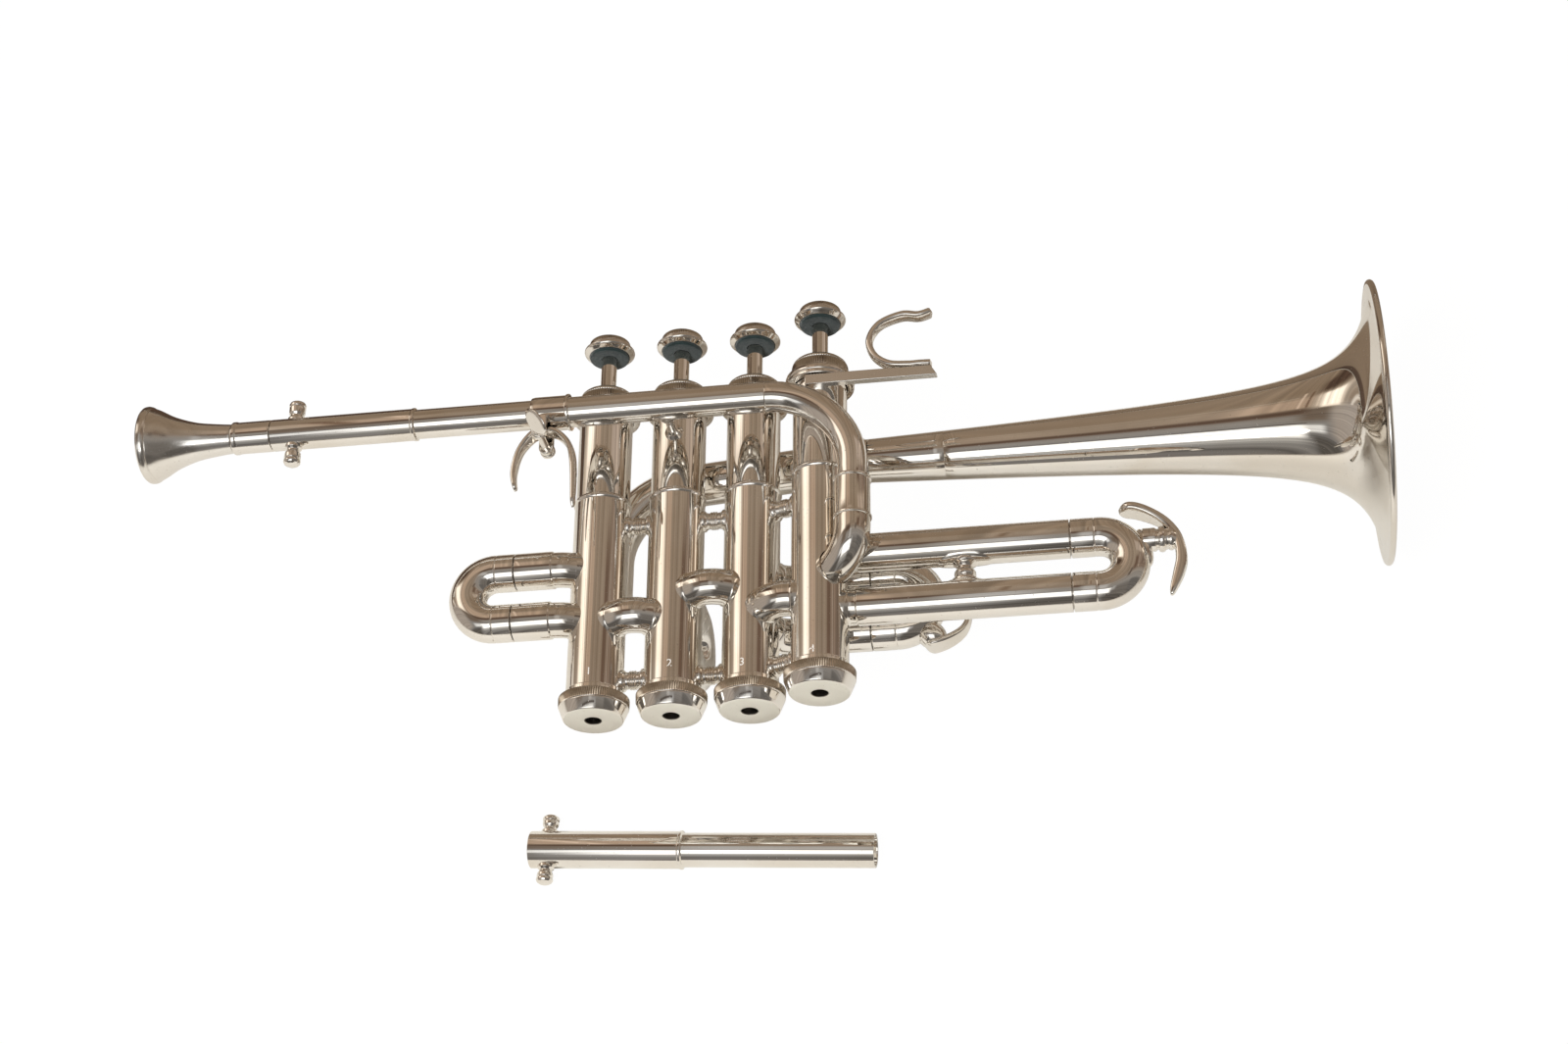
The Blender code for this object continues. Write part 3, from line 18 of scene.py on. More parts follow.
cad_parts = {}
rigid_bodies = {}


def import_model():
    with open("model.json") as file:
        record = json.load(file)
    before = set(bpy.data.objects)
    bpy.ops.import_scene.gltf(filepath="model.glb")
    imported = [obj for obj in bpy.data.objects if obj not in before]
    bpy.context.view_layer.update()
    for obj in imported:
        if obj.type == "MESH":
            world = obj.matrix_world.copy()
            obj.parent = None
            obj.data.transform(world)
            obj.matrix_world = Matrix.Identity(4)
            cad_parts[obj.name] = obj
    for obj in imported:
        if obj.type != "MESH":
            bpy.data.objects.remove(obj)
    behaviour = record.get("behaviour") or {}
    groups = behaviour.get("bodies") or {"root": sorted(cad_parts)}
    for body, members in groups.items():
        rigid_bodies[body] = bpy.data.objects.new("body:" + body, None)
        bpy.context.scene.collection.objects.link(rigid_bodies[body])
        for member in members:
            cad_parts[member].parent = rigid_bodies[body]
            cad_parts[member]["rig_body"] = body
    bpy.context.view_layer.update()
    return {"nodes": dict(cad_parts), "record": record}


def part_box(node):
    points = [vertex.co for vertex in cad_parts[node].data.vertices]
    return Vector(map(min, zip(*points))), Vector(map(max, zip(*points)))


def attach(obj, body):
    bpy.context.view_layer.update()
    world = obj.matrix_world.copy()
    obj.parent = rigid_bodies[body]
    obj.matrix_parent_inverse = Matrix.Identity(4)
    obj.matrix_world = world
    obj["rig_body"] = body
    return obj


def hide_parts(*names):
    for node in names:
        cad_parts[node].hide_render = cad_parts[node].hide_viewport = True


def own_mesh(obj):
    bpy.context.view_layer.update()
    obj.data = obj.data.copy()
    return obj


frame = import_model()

MM = 0.001

# %% [markdown]
# The instrument is easiest to describe in its own upright frame: X towards the bell, Y away
# from the viewer, Z from the bottom caps to the buttons, with valve 2 on the Z axis. The
# bottom cap of valve 2 tells where that frame lies on the table, so nothing is placed by eye.

# %% The instrument's own frame
cap_low, cap_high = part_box("bottom_cap_2")
HOME = Vector(((cap_low.x + cap_high.x) / 2, cap_low.y, (cap_low.z + cap_high.z) / 2))
LYING = Matrix(((1, 0, 0), (0, 0, 1), (0, -1, 0)))


def at(spot):
    """A point of the instrument's frame, in millimetres, as a point of the scene in metres."""
    return HOME + LYING @ Vector(spot) * MM


def toward(x, y, z):
    """A direction of the instrument's frame as a direction of the scene."""
    return (LYING @ Vector((x, y, z))).normalized()


print("the instrument's origin:", [round(value, 4) for value in HOME])

# %% [markdown]
# Shader maths reads best as plain arithmetic. A small class wraps a node's output socket and
# overloads the operators, so `1 - mask * 0.3` builds its Math nodes by itself. The reflected
# forms let a plain number stand on the left. Any other node comes from one method that takes
# the node's type, its settings and the values or links of its sockets.

# %% Sockets that take part in arithmetic


class Wire:
    """An output socket in a node tree."""

    def __init__(self, tree, socket=None):
        self.tree = tree
        self.socket = socket

    def node(self, kind, settings, values, output=0):
        """Adds a node: its settings first, then numbers, colours or wires for its inputs."""
        made = self.tree.nodes.new(kind)
        for name, value in settings.items():
            if name == "stops":
                self.paint_ramp(made.color_ramp, value)
            else:
                setattr(made, name, value)
        for name, value in values.items():
            if isinstance(value, Wire):
                self.tree.links.new(value.socket, made.inputs[name])
            else:
                made.inputs[name].default_value = value
        return Wire(self.tree, made.outputs[output]) if made.outputs else None

    @staticmethod
    def paint_ramp(ramp, stops):
        """Sets a colour ramp's stops from (position, colour) pairs."""
        while len(ramp.elements) < len(stops):
            ramp.elements.new(0.5)
        for element, (position, colour) in zip(ramp.elements, stops):
            element.position = position
            element.color = (*colour, 1)

    def math(self, operation, first, second=0.0):
        """A Math node on two values, each a number or a wire."""
        return self.node("ShaderNodeMath", {"operation": operation}, {0: first, 1: second})

    def __add__(self, other):
        return self.math("ADD", self, other)

    def __radd__(self, other):
        return self.math("ADD", other, self)

    def __sub__(self, other):
        return self.math("SUBTRACT", self, other)

    def __rsub__(self, other):
        return self.math("SUBTRACT", other, self)

    def __mul__(self, other):
        return self.math("MULTIPLY", self, other)

    def __rmul__(self, other):
        return self.math("MULTIPLY", other, self)

    def __truediv__(self, other):
        return self.math("DIVIDE", self, other)

    def __pow__(self, other):
        return self.math("POWER", self, other)

    def between(self, low, high):
        """0 below the first value and 1 above the second, with a soft step in between."""
        return self.node("ShaderNodeMapRange", {"interpolation_type": "SMOOTHSTEP"},
                         {"Value": self, "From Min": low, "From Max": high})

    def blend(self, first, second):
        """A colour between two others, with this wire as the share of the second."""
        return self.node("ShaderNodeMix", {"data_type": "RGBA"}, {"Factor": self, "A": first, "B": second}, 2)


# %% [markdown]
# A finish starts from an empty Principled shader. Its textures read the object coordinates,
# because every mesh here keeps real sizes, so a texture's scale means the same on each piece.

# %% An empty finish


class Finish:
    """A material whose Principled shader is fed by values and wires."""

    def __init__(self, name):
        self.material = bpy.data.materials.new(name)
        self.material.use_nodes = True
        self.tree = self.material.node_tree
        self.shader = self.tree.nodes["Principled BSDF"]
        self.make = Wire(self.tree)
        self.place = self.make.node("ShaderNodeTexCoord", {}, {}, 3)

    def feed(self, name, value):
        """Sets one of the shader's sockets to a number or colour, or links a wire to it."""
        if isinstance(value, Wire):
            self.tree.links.new(value.socket, self.shader.inputs[name])
        else:
            self.shader.inputs[name].default_value = value

    def noise(self, scale, detail=2.0, distortion=0.0):
        """Noise with a scale in cycles per metre."""
        return self.make.node("ShaderNodeTexNoise", {}, {
            "Vector": self.place, "Scale": scale, "Detail": detail, "Distortion": distortion})

    def dent(self, height, strength, depth):
        """A bump of a depth in millimetres that feeds the Normal socket."""
        self.feed("Normal", self.make.node("ShaderNodeBump", {}, {
            "Strength": strength, "Distance": depth * MM, "Height": height}))


# %% [markdown]
# Silver plate is a metal with almost no roughness. What makes it look real is what it mirrors,
# and a few faint traces of use: tarnish that warms the colour in large soft clouds, specks of
# polish left behind, finger marks that dull the mirror in patches, and a surface that is not
# quite even, so that straight reflections waver a little.

# %% Silver plate


def silver_plate(name, clean, aged, roughness, waver):
    """Polished plate with tarnish clouds, finger marks and fine polishing lines."""
    finish = Finish(name)
    clouds = finish.noise(28.0, 3.0, 0.6)
    marks = finish.noise(120.0, 4.0, 1.2).between(0.56, 0.70)
    specks = finish.noise(1500.0, 1.0).between(0.70, 0.76)
    hairlines = finish.noise(700.0, 3.0, 2.0)
    tint = clouds.between(0.35, 0.75).blend((*clean, 1), (*aged, 1))
    finish.feed("Base Color", (specks * 0.35).blend(tint, (0.42, 0.38, 0.33, 1)))
    finish.feed("Roughness", roughness + marks * 0.05 + hairlines * 0.03 + specks * 0.25)
    finish.feed("Metallic", 1.0)
    finish.dent(finish.noise(200.0, 2.0) + hairlines * 0.03, waver, 0.04)
    return finish.material


SILVER = silver_plate("polished_silver_plate", (0.90, 0.87, 0.83), (0.82, 0.77, 0.70), 0.03, 0.05)
RUBBED = silver_plate("rubbed_silver_plate", (0.88, 0.86, 0.83), (0.80, 0.76, 0.70), 0.16, 0.05)
SATIN = silver_plate("satin_silver_plate", (0.88, 0.87, 0.81), (0.82, 0.80, 0.74), 0.34, 0.04)
PISTON = silver_plate("lapped_piston_metal", (0.78, 0.76, 0.73), (0.70, 0.68, 0.65), 0.12, 0.02)
SPRING = silver_plate("spring_steel", (0.42, 0.42, 0.44), (0.36, 0.35, 0.35), 0.3, 0.02)
print("metal finishes:", [item.name for item in (SILVER, RUBBED, SATIN, PISTON, SPRING)])

# %% [markdown]
# The knurled bands and the drain holes hold dirt and old polish. Their plate is the same metal,
# only darker in the grooves and rougher.

# %% Darkened plate
TARNISHED = silver_plate("tarnished_silver_plate", (0.40, 0.37, 0.33), (0.28, 0.25, 0.22), 0.28, 0.2)
KNURLED = silver_plate("knurled_silver_plate", (0.62, 0.58, 0.52), (0.50, 0.46, 0.40), 0.16, 0.1)

# %% [markdown]
# Felt is the opposite of plate: rough, dark and slightly fuzzy. Fine noise stretched by
# distortion stands for matted fibres, larger noise for worn patches, and a little sheen
# lifts the edges as fibres do.

# %% Green felt


def felt(name, deep, worn):
    """Dense felt with matted fibres."""
    finish = Finish(name)
    fibres = finish.noise(2600.0, 4.0, 1.5)
    patches = finish.noise(350.0, 2.0)
    mix = (fibres * 0.6 + patches * 0.4).between(0.3, 0.75)
    finish.feed("Base Color", mix.blend((*deep, 1), (*worn, 1)))
    finish.feed("Roughness", 0.95)
    finish.feed("Sheen Weight", 0.35)
    finish.dent(fibres, 0.8, 0.3)
    return finish.material


FELT = felt("green_felt", (0.007, 0.017, 0.018), (0.027, 0.050, 0.051))
print("felt:", FELT.name)

# %% [markdown]
# First every imported piece gets its own finish, so that none is ever left bare. Finer shapes
# further down stand for them, and each new piece takes its body from here.

# %% Finish the imported pieces
FINISHES = {"polished_nickel": SILVER, "piston_metal": PISTON, "spring_wire": SPRING, "green_felt": FELT}
BODIES = {}
for row in frame["record"]["subparts"]:
    packed = frame["nodes"][row["node"]]
    packed.data.materials.clear()
    packed.data.materials.append(FINISHES[row["material_slot"]])
    BODIES[row["node"]] = packed.get("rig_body")

# %% [markdown]
# Nearly everything on a trumpet is a tube: straight or bent, plain or stepped. So one route
# class serves them all. It knows its length and gives a centre and a cross direction at any
# distance, without twisting, which a plain curve object with a bevel can't do for stepped
# tubes that are hollow at their ends.

# %% Routes


def rounded(corners, bend):
    """(point, way) pairs along straight runs whose corners are rounded to one bend radius."""
    corners = [Vector(corner) for corner in corners]
    inward = (corners[1] - corners[0]).normalized()
    pairs = [(corners[0], inward)]
    for before, corner, after in zip(corners, corners[1:], corners[2:]):
        inward, outward = (corner - before).normalized(), (after - corner).normalized()
        turn = inward.angle(outward)
        start = corner - inward * bend * math.tan(turn / 2)
        middle = start + (outward - inward * inward.dot(outward)).normalized() * bend
        across = start - middle
        count = math.ceil(turn / math.radians(5))
        for step in range(count + 1):
            angle = turn * step / count
            spot = middle + across * math.cos(angle) + inward * bend * math.sin(angle)
            if (spot - pairs[-1][0]).length > 0.01:
                pairs.append((spot, inward * math.cos(angle) - across / bend * math.sin(angle)))
    if (corners[-1] - pairs[-1][0]).length > 0.01:
        pairs.append((corners[-1], outward if len(corners) > 2 else inward))
    return pairs


class Route:
    """A path that carries rings at any distance along it, in the instrument's millimetres."""

    def __init__(self, pairs):
        self.spots = [spot for spot, _ in pairs]
        self.ways = [way.normalized() for _, way in pairs]
        self.marks = [0.0]
        self.sides = [self.ways[0].orthogonal().normalized()]
        for index in range(1, len(pairs)):
            self.marks.append(self.marks[-1] + (self.spots[index] - self.spots[index - 1]).length)
            turn = self.ways[index - 1].rotation_difference(self.ways[index])
            self.sides.append(turn @ self.sides[-1])
        self.length = self.marks[-1]

    def frame(self, distance):
        """The centre, way and two cross directions at a distance; past the ends it runs on straight."""
        index = min(max(bisect.bisect_right(self.marks, distance) - 1, 0), len(self.spots) - 2)
        share = (distance - self.marks[index]) / (self.marks[index + 1] - self.marks[index])
        centre = self.spots[index] + (self.spots[index + 1] - self.spots[index]) * share
        share = min(max(share, 0.0), 1.0)
        way = self.ways[index].lerp(self.ways[index + 1], share).normalized()
        side = self.sides[index].lerp(self.sides[index + 1], share)
        side = (side - way * side.dot(way)).normalized()
        return centre, way, side, way.cross(side)


def straight(foot, way, length=1.0):
    """A straight route from a foot."""
    foot, way = Vector(foot), Vector(way).normalized()
    return Route([(foot, way), (foot + way * length, way)])


test_bend = Route(rounded([(0, 0, 0), (50, 0, 0), (50, 0, -50)], 20))
print("a test bend is", round(test_bend.length, 2), "mm long")

# %% [markdown]
# A piece is then a list of rings. Each ring stands at a distance along a route with a radius,
# as a turner would give a profile, and rings are joined into one closed skin. A tube that is
# soldered to a casing has its end ring slid along the tube until it lies on the casing's wall,
# which gives the true saddle shape without any cutting. A third value in the profile cuts
# knurling: every second point of that ring stands deeper.

# %% A skin over rings
BEND_STEP = math.radians(5)


def seat_spot(spot, way, seat):
    """Slides a spot along the way onto a casing's wall, given as its axis' x and y and a radius."""
    flat = Vector((spot.x - seat[0], spot.y - seat[1]))
    course = Vector((way.x, way.y))
    size = course.length_squared
    half = flat.dot(course)
    root = math.sqrt(max(half * half - size * (flat.length_squared - seat[2] ** 2), 0.0))
    steps = ((-half - root) / size, (-half + root) / size)
    return spot + way * min(steps, key=abs)


def stations(route, profile):
    """The profile's points, with more in between where the route bends."""
    rows = []
    for first, second in zip(profile, profile[1:]):
        turn = route.frame(first[0])[1].angle(route.frame(second[0])[1])
        middle = route.frame((first[0] + second[0]) / 2)[1]
        turn = max(turn, 2 * middle.angle(route.frame(first[0])[1]))
        count = max(1, math.ceil(turn / BEND_STEP))
        for step in range(count):
            share = step / count
            rows.append(tuple(a + (b - a) * share for a, b in zip(first, second)))
    return rows + [profile[-1]]


def ring_spots(route, row, sides, seats):
    """One ring's points; a ring without radius is a single point."""
    centre, way, side, rise = route.frame(row[0])
    if row[1] < 1e-6:
        return [centre]
    spots = []
    for index in range(sides):
        angle = math.tau * index / sides
        size = row[1] - (row[2] if len(row) > 2 and index % 2 else 0.0)
        spot = centre + (side * math.cos(angle) + rise * math.sin(angle)) * size
        for distance, seat in seats:
            if abs(distance - row[0]) < 1e-4:
                spot = seat_spot(spot, way, seat)
        spots.append(spot)
    return spots


def join_rings(shape, lower, upper, material_index=0):
    """Faces between two rings; either may be a single point."""
    count = max(len(lower), len(upper))
    for index in range(count):
        after = (index + 1) % count
        corners = [lower[index % len(lower)], lower[after % len(lower)],
                   upper[after % len(upper)], upper[index % len(upper)]]
        corners = list(dict.fromkeys(corners))
        if len(corners) > 2:
            shape.faces.new(corners).material_index = material_index


# %% [markdown]
# Real edges are never perfectly sharp, and a small rounding is what catches the light. So the
# corners of a profile are softened by a fraction of a millimetre before it is skinned. Where
# the angle stays large, the shading is split, as it would be on a crisp turned shoulder.

# %% Softened profiles and finished pieces
SHARP = math.radians(38)
MADE = []


def soften(profile, size=0.25):
    """Rounds a profile's plain corners with short curves."""
    if not size:
        return list(profile)
    rows = [profile[0]]
    for before, corner, after in zip(profile, profile[1:], profile[2:]):
        back = Vector(before[:2]) - Vector(corner[:2])
        ahead = Vector(after[:2]) - Vector(corner[:2])
        if len(corner) > 2 or min(back.length, ahead.length) < 1e-5 or (-back).angle(ahead) < 0.15:
            rows.append(corner)
            continue
        middle = Vector(corner[:2])
        start = middle + back.normalized() * min(size, back.length * 0.45)
        end = middle + ahead.normalized() * min(size, ahead.length * 0.45)
        for share in (0.0, 0.33, 0.67, 1.0):
            spot = start * (1 - share) ** 2 + middle * 2 * share * (1 - share) + end * share ** 2
            rows.append((spot.x, max(spot.y, 0.0)))
    return rows + [profile[-1]]


def settle(name, shape, node, finishes, replaces=True):
    """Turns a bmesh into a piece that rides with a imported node's body and may stand for it."""
    bmesh.ops.recalc_face_normals(shape, faces=shape.faces)
    mesh = bpy.data.meshes.new(name)
    shape.to_mesh(mesh)
    shape.free()
    for finish in finishes:
        mesh.materials.append(finish)
    mesh.shade_smooth()
    mesh.set_sharp_from_angle(angle=SHARP)
    piece = bpy.data.objects.new(name, mesh)
    bpy.context.collection.objects.link(piece)
    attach(piece, BODIES[node])
    if replaces:
        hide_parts(node)
    MADE.append(piece)
    return piece


def skin(name, node, route, profile, finish=None, sides=64, seats=(), replaces=True, soft=0.25, second=None):
    """A closed piece over a profile of (distance, radius) rings along a route.

    A profile that ends on the axis closes itself; any other is a hollow one and joins its last
    ring to its first. second = (finish, test) gives rings for which the test holds that finish.
    """
    rows = stations(route, soften(profile, soft))
    shape = bmesh.new()
    rings = [[shape.verts.new(at(spot)) for spot in ring_spots(route, row, sides, seats)] for row in rows]
    pairs = list(zip(rows, rows[1:], rings, rings[1:]))
    if len(rings[0]) > 1:
        pairs.append((rows[-1], rows[0], rings[-1], rings[0]))
    for first, last, lower, upper in pairs:
        marked = second is not None and second[1](first, last)
        join_rings(shape, lower, upper, int(marked))
    finishes = [finish or SILVER] + ([second[0]] if second else [])
    return settle(name, shape, node, finishes, replaces)


def is_knurled(first, last):
    """Whether the faces between two rings belong to a knurled band."""
    return len(first) > 2 and len(last) > 2 and first[2] + last[2] > 0


def groove(distance, radius, width=0.35, depth=0.16):
    """Three profile points that turn a fine joint line into a tube."""
    return [(distance - width / 2, radius), (distance, radius - depth), (distance + width / 2, radius)]


print("helpers ready; sharp edges from", round(math.degrees(SHARP)), "degrees")

# %% [markdown]
# A valve casing is two tubes let into each other. The lower one is a little wider, and a
# soldered bead hides the joint. The bead is part of the turned profile, so it mirrors the room
# in its own small curve. The casing is hollow, because the piston runs in it.

# %% Valve casings
AXES = {1: (-26.1, 0.0), 2: (0.0, 0.0), 3: (26.1, 0.0), 4: (50.7, -10.1)}
WALL = 9.5
LOWER_TOP = 80.6
CASING_TOP = 116.6


def valve_route(number):
    """The straight route up a valve's axis, with distances equal to heights."""
    return straight((*AXES[number], 0), (0, 0, 1))


def casing(number):
    """A two-part casing with its soldered bead."""
    profile = [(CASING_TOP, 9.2), (LOWER_TOP + 0.95, 9.2), (LOWER_TOP + 0.85, 9.5), (LOWER_TOP + 0.5, 9.85),
               (LOWER_TOP, 9.98), (LOWER_TOP - 0.5, 9.85), (LOWER_TOP - 0.85, 9.6), (LOWER_TOP - 0.9, WALL),
               (3.5, WALL),
               (3.5, 8.5), (CASING_TOP, 8.5)]
    name = "casing_%d" % number
    return skin(name, "valve_casing_%d" % number, valve_route(number), profile, sides=96, soft=0.2)


for number in AXES:
    casing(number)
print("casings:", len(MADE))

# %% [markdown]
# Between the casings stand short struts, turned with a flange at each end and three fine
# beads round the middle. They keep the block stiff. Both ends are seated on the walls.

# %% Struts between the casings


def between(first, second, height):
    """Start, end and unit way from one casing's wall towards the next one."""
    start, end = Vector((*AXES[first], height)), Vector((*AXES[second], height))
    return start, end, (end - start).normalized()


def strut(first, second, height, radius):
    """A beaded post with a flange on each casing."""
    start, end, way = between(first, second, height)
    reach = (end - start).length
    near, far = 9.3, reach - 9.3
    middle = reach / 2
    half = [(near, 0), (near, radius + 0.9), (near + 0.7, radius + 0.75), (near + 1.1, radius + 0.3),
            (near + 1.5, radius), (middle - 1.5, radius - 0.1), (middle - 1.35, radius - 0.35),
            (middle - 1.2, radius + 0.1), (middle - 0.8, radius + 0.3), (middle - 0.45, radius + 0.1),
            (middle - 0.38, radius - 0.2), (middle - 0.3, radius + 0.15)]
    profile = half + [(middle, radius + 0.35)] + [(reach - spot, size) for spot, size in reversed(half)]
    seats = ((near, (*AXES[first], 9.3)), (far, (*AXES[second], 9.3)))
    name = "strut_%d_%d_%d" % (first, second, round(height))
    return skin(name, "valve_casing_%d" % first, straight(start, way), profile, sides=48, seats=seats,
                replaces=False, soft=0.1)


for height, radius in ((72.0, 2.85), (13.8, 2.95)):
    for first, second in ((1, 2), (2, 3), (3, 4)):
        strut(first, second, height, radius)
print("struts:", sum(piece.name.startswith("strut") for piece in MADE))

# %% [markdown]
# The bottom cap screws onto the casing. Its knurled band gives the fingers a grip, below it
# runs a polished bevel, and the flat face with the drain hole is only brushed, so it looks
# paler than the mirror next to it. Each part of the profile therefore takes its own finish.

# %% Bottom caps
KNURL_TEETH = 96
BAND_TOP = 7.4
BAND_FOOT = 4.2


def bottom_cap(number):
    """A cup with a neck, a knurled band, a wide bevel and a drain hole."""
    cut = 0.3
    profile = [(9.8, 9.62), (9.8, 9.7), (9.6, 9.8), (BAND_TOP + 0.15, 9.8), (BAND_TOP + 0.1, 11.3),
               (BAND_TOP, 11.75, cut), (BAND_TOP - 0.25, 11.85, cut), (BAND_FOOT + 0.3, 11.75, cut),
               (BAND_FOOT, 11.6, cut), (BAND_FOOT - 0.2, 11.4), (BAND_FOOT - 0.45, 11.45), (0.3, 10.1), (0, 9.8),
               (0, 2.95), (0.15, 2.75), (3.2, 2.7), (3.2, 9.62)]
    piece = skin("bottom_cap_shell_%d" % number, "bottom_cap_%d" % number, valve_route(number), profile,
                 sides=2 * KNURL_TEETH, soft=0.18, second=(KNURLED, is_knurled))
    piece.data.materials.append(SATIN)
    piece.data.materials.append(TARNISHED)
    low = at((0, 0, 0)).y
    for face in piece.data.polygons:
        spots = [piece.data.vertices[index].co for index in face.vertices]
        axis = at((*AXES[number], 0))
        reach = max(math.hypot(spot.x - axis.x, spot.z - axis.z) for spot in spots) / MM
        flat = max(abs(spot.y - low) for spot in spots) < 0.05 * MM
        if flat:
            face.material_index = 2
        elif reach < 3.0:
            face.material_index = 3
    return piece


for number in AXES:
    bottom_cap(number)
print("knurled teeth on a bottom cap:", KNURL_TEETH)

# %% [markdown]
# The top cap has two tiers, like the button above it: a smooth wide rim and, stepped in from
# it, a knurled ring under a low dome. It is turned hollow, because the piston's slimmer barrel
# rises into it, and the stem passes through the hole at the top.

# %% Top caps


def top_cap(number):
    """A wide rim, a knurled ring, a low dome and the stem's hole."""
    cut = 0.3
    profile = [(126.6, 3.02), (126.5, 3.8), (126.1, 5.5), (125.5, 7.2), (124.7, 8.5), (124.0, 9.2), (123.3, 9.55),
               (122.95, 9.6, cut), (122.75, 9.72, cut), (120.0, 9.72, cut), (119.8, 9.6, cut), (119.7, 9.35),
               (119.45, 9.9), (119.1, 10.7), (118.6, 11.4), (118.0, 11.75), (117.2, 11.85), (116.7, 11.8),
               (116.4, 11.6), (116.1, 11.6), (115.9, 11.75), (115.1, 11.7), (114.75, 11.5), (114.7, 9.5),
               (116.9, 9.5), (116.9, 7.5), (122.3, 7.5), (122.3, 2.92), (126.45, 2.92)]
    return skin("top_cap_dome_%d" % number, "top_cap_%d" % number, valve_route(number), profile,
                sides=156, soft=0.15, second=(KNURLED, is_knurled))


for number in AXES:
    top_cap(number)
print("top caps:", sum(piece.name.startswith("top_cap") for piece in MADE))

# %% [markdown]
# A finger button has two tiers: a wide rounded rim with two fine beads and a narrower knurled
# ring above it, with a shallow dish on top for the fingertip. A felt washer sits in the hollow
# under it and silences the stroke, so its profile leaves a lip round the felt.

# %% Finger buttons and felts


def finger_button(number):
    """A two-tier button with a knurled upper ring and a dished top."""
    cut = 0.24
    profile = [(146.6, 0), (146.65, 3.6), (146.8, 5.2), (147.0, 6.0), (146.95, 6.4), (146.8, 6.75),
               (146.65, 7.0, cut), (146.45, 7.15, cut), (145.35, 7.3, cut), (145.15, 7.2, cut), (145.0, 7.0),
               (144.85, 7.25), (144.65, 7.7), (144.4, 7.95), (144.2, 7.85), (144.05, 8.25), (143.8, 8.5),
               (143.65, 8.45), (143.45, 8.8), (143.1, 8.93), (142.7, 8.85), (142.2, 8.4), (141.75, 7.8),
               (141.4, 7.4), (141.3, 7.2), (141.4, 7.02), (142.0, 7.0), (142.0, 2.75), (144.35, 2.75),
               (144.35, 0)]
    return skin("finger_button_top_%d" % number, "finger_button_%d" % number, valve_route(number), profile,
                sides=144, soft=0.15, second=(KNURLED, is_knurled))


def felt_washer(number):
    """A felt washer with rounded edges."""
    profile = [(141.9, 2.86), (141.92, 5.0), (141.9, 6.7), (141.7, 6.95), (140.7, 6.98), (140.3, 6.7),
               (140.2, 5.0), (140.25, 2.86)]
    return skin("felt_washer_%d" % number, "button_felt_%d" % number, valve_route(number), profile, FELT,
                sides=72, soft=0.2)


for number in AXES:
    finger_button(number)
    felt_washer(number)
print("buttons and felts:", sum("button" in piece.name or "felt" in piece.name for piece in MADE))

# %% [markdown]
# The piston runs inside the casing, so mostly its stem shows, a plain polished rod between cap
# and button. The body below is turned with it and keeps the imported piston's lengths.

# %% Pistons


def piston(number):
    """Body, barrel and stem in one turned piece."""
    profile = [(143.9, 0), (143.9, 2.5), (143.7, 2.72), (121.0, 2.72), (121.0, 6.6), (120.6, 7.1), (84.0, 7.1),
               (83.4, 8.1), (18.4, 8.1), (18.0, 7.7), (18.0, 0)]
    second = (SILVER, lambda first, last: max(first[1], last[1]) < 3.0)
    return skin("piston_body_%d" % number, "piston_%d" % number, valve_route(number), profile, PISTON,
                sides=64, soft=0.15, second=second)


for number in AXES:
    piston(number)
print("pistons:", sum(piece.name.startswith("piston_body") for piece in MADE))

# %% [markdown]
# Under each piston stands a coil spring that brings the valve up again. Its wire is laid along
# a helix whose end turns lie flat, so that it stands square. It is one rigid piece, so it can't
# get shorter as its valve goes down.

# %% Return springs
COIL_FOOT, COIL_HEAD = 3.55, 17.9
COIL_RADIUS, WIRE_RADIUS, TURNS = 5.0, 0.55, 6.0


def spring(number):
    """A coil of round wire between the bottom cap and the piston."""
    shape = bmesh.new()
    rings = []
    low, high = COIL_FOOT + WIRE_RADIUS, COIL_HEAD - WIRE_RADIUS
    for step in range(int(TURNS * 26) + 1):
        turned = step / 26
        climb = min(max((turned - 0.5) / (TURNS - 1), 0.0), 1.0)
        outward = Vector((math.cos(turned * math.tau), math.sin(turned * math.tau), 0))
        ring = []
        for side in range(10):
            angle = side * math.tau / 10
            spot = Vector((*AXES[number], low + (high - low) * climb + WIRE_RADIUS * math.sin(angle)))
            ring.append(shape.verts.new(at(spot + outward * (COIL_RADIUS + WIRE_RADIUS * math.cos(angle)))))
        rings.append(ring)
    for lower, upper in zip(rings, rings[1:]):
        join_rings(shape, lower, upper, 0)
    shape.faces.new(rings[0])
    shape.faces.new(rings[-1])
    piece = settle("return_spring_%d" % number, shape, "valve_spring_%d" % number, [SPRING])
    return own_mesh(piece)


for number in AXES:
    spring(number)
print("springs:", sum(piece.name.startswith("return_spring") for piece in MADE))

# %% [markdown]
# Knuckles carry the air from valve to valve. Each is a short bow that leaves one casing
# slantwise towards the viewer and enters the next one. Its route is a corner between two
# straight lines, rounded, and both ends lie on the casings' walls. Brazed joints leave a small
# fillet, so every tube that meets a casing widens a little over its last millimetre.

# %% Knuckles
TUBE = 6.0
FILLET = [(0, 0.4), (0.25, 0.22), (0.6, 0.08), (1.2, 0)]


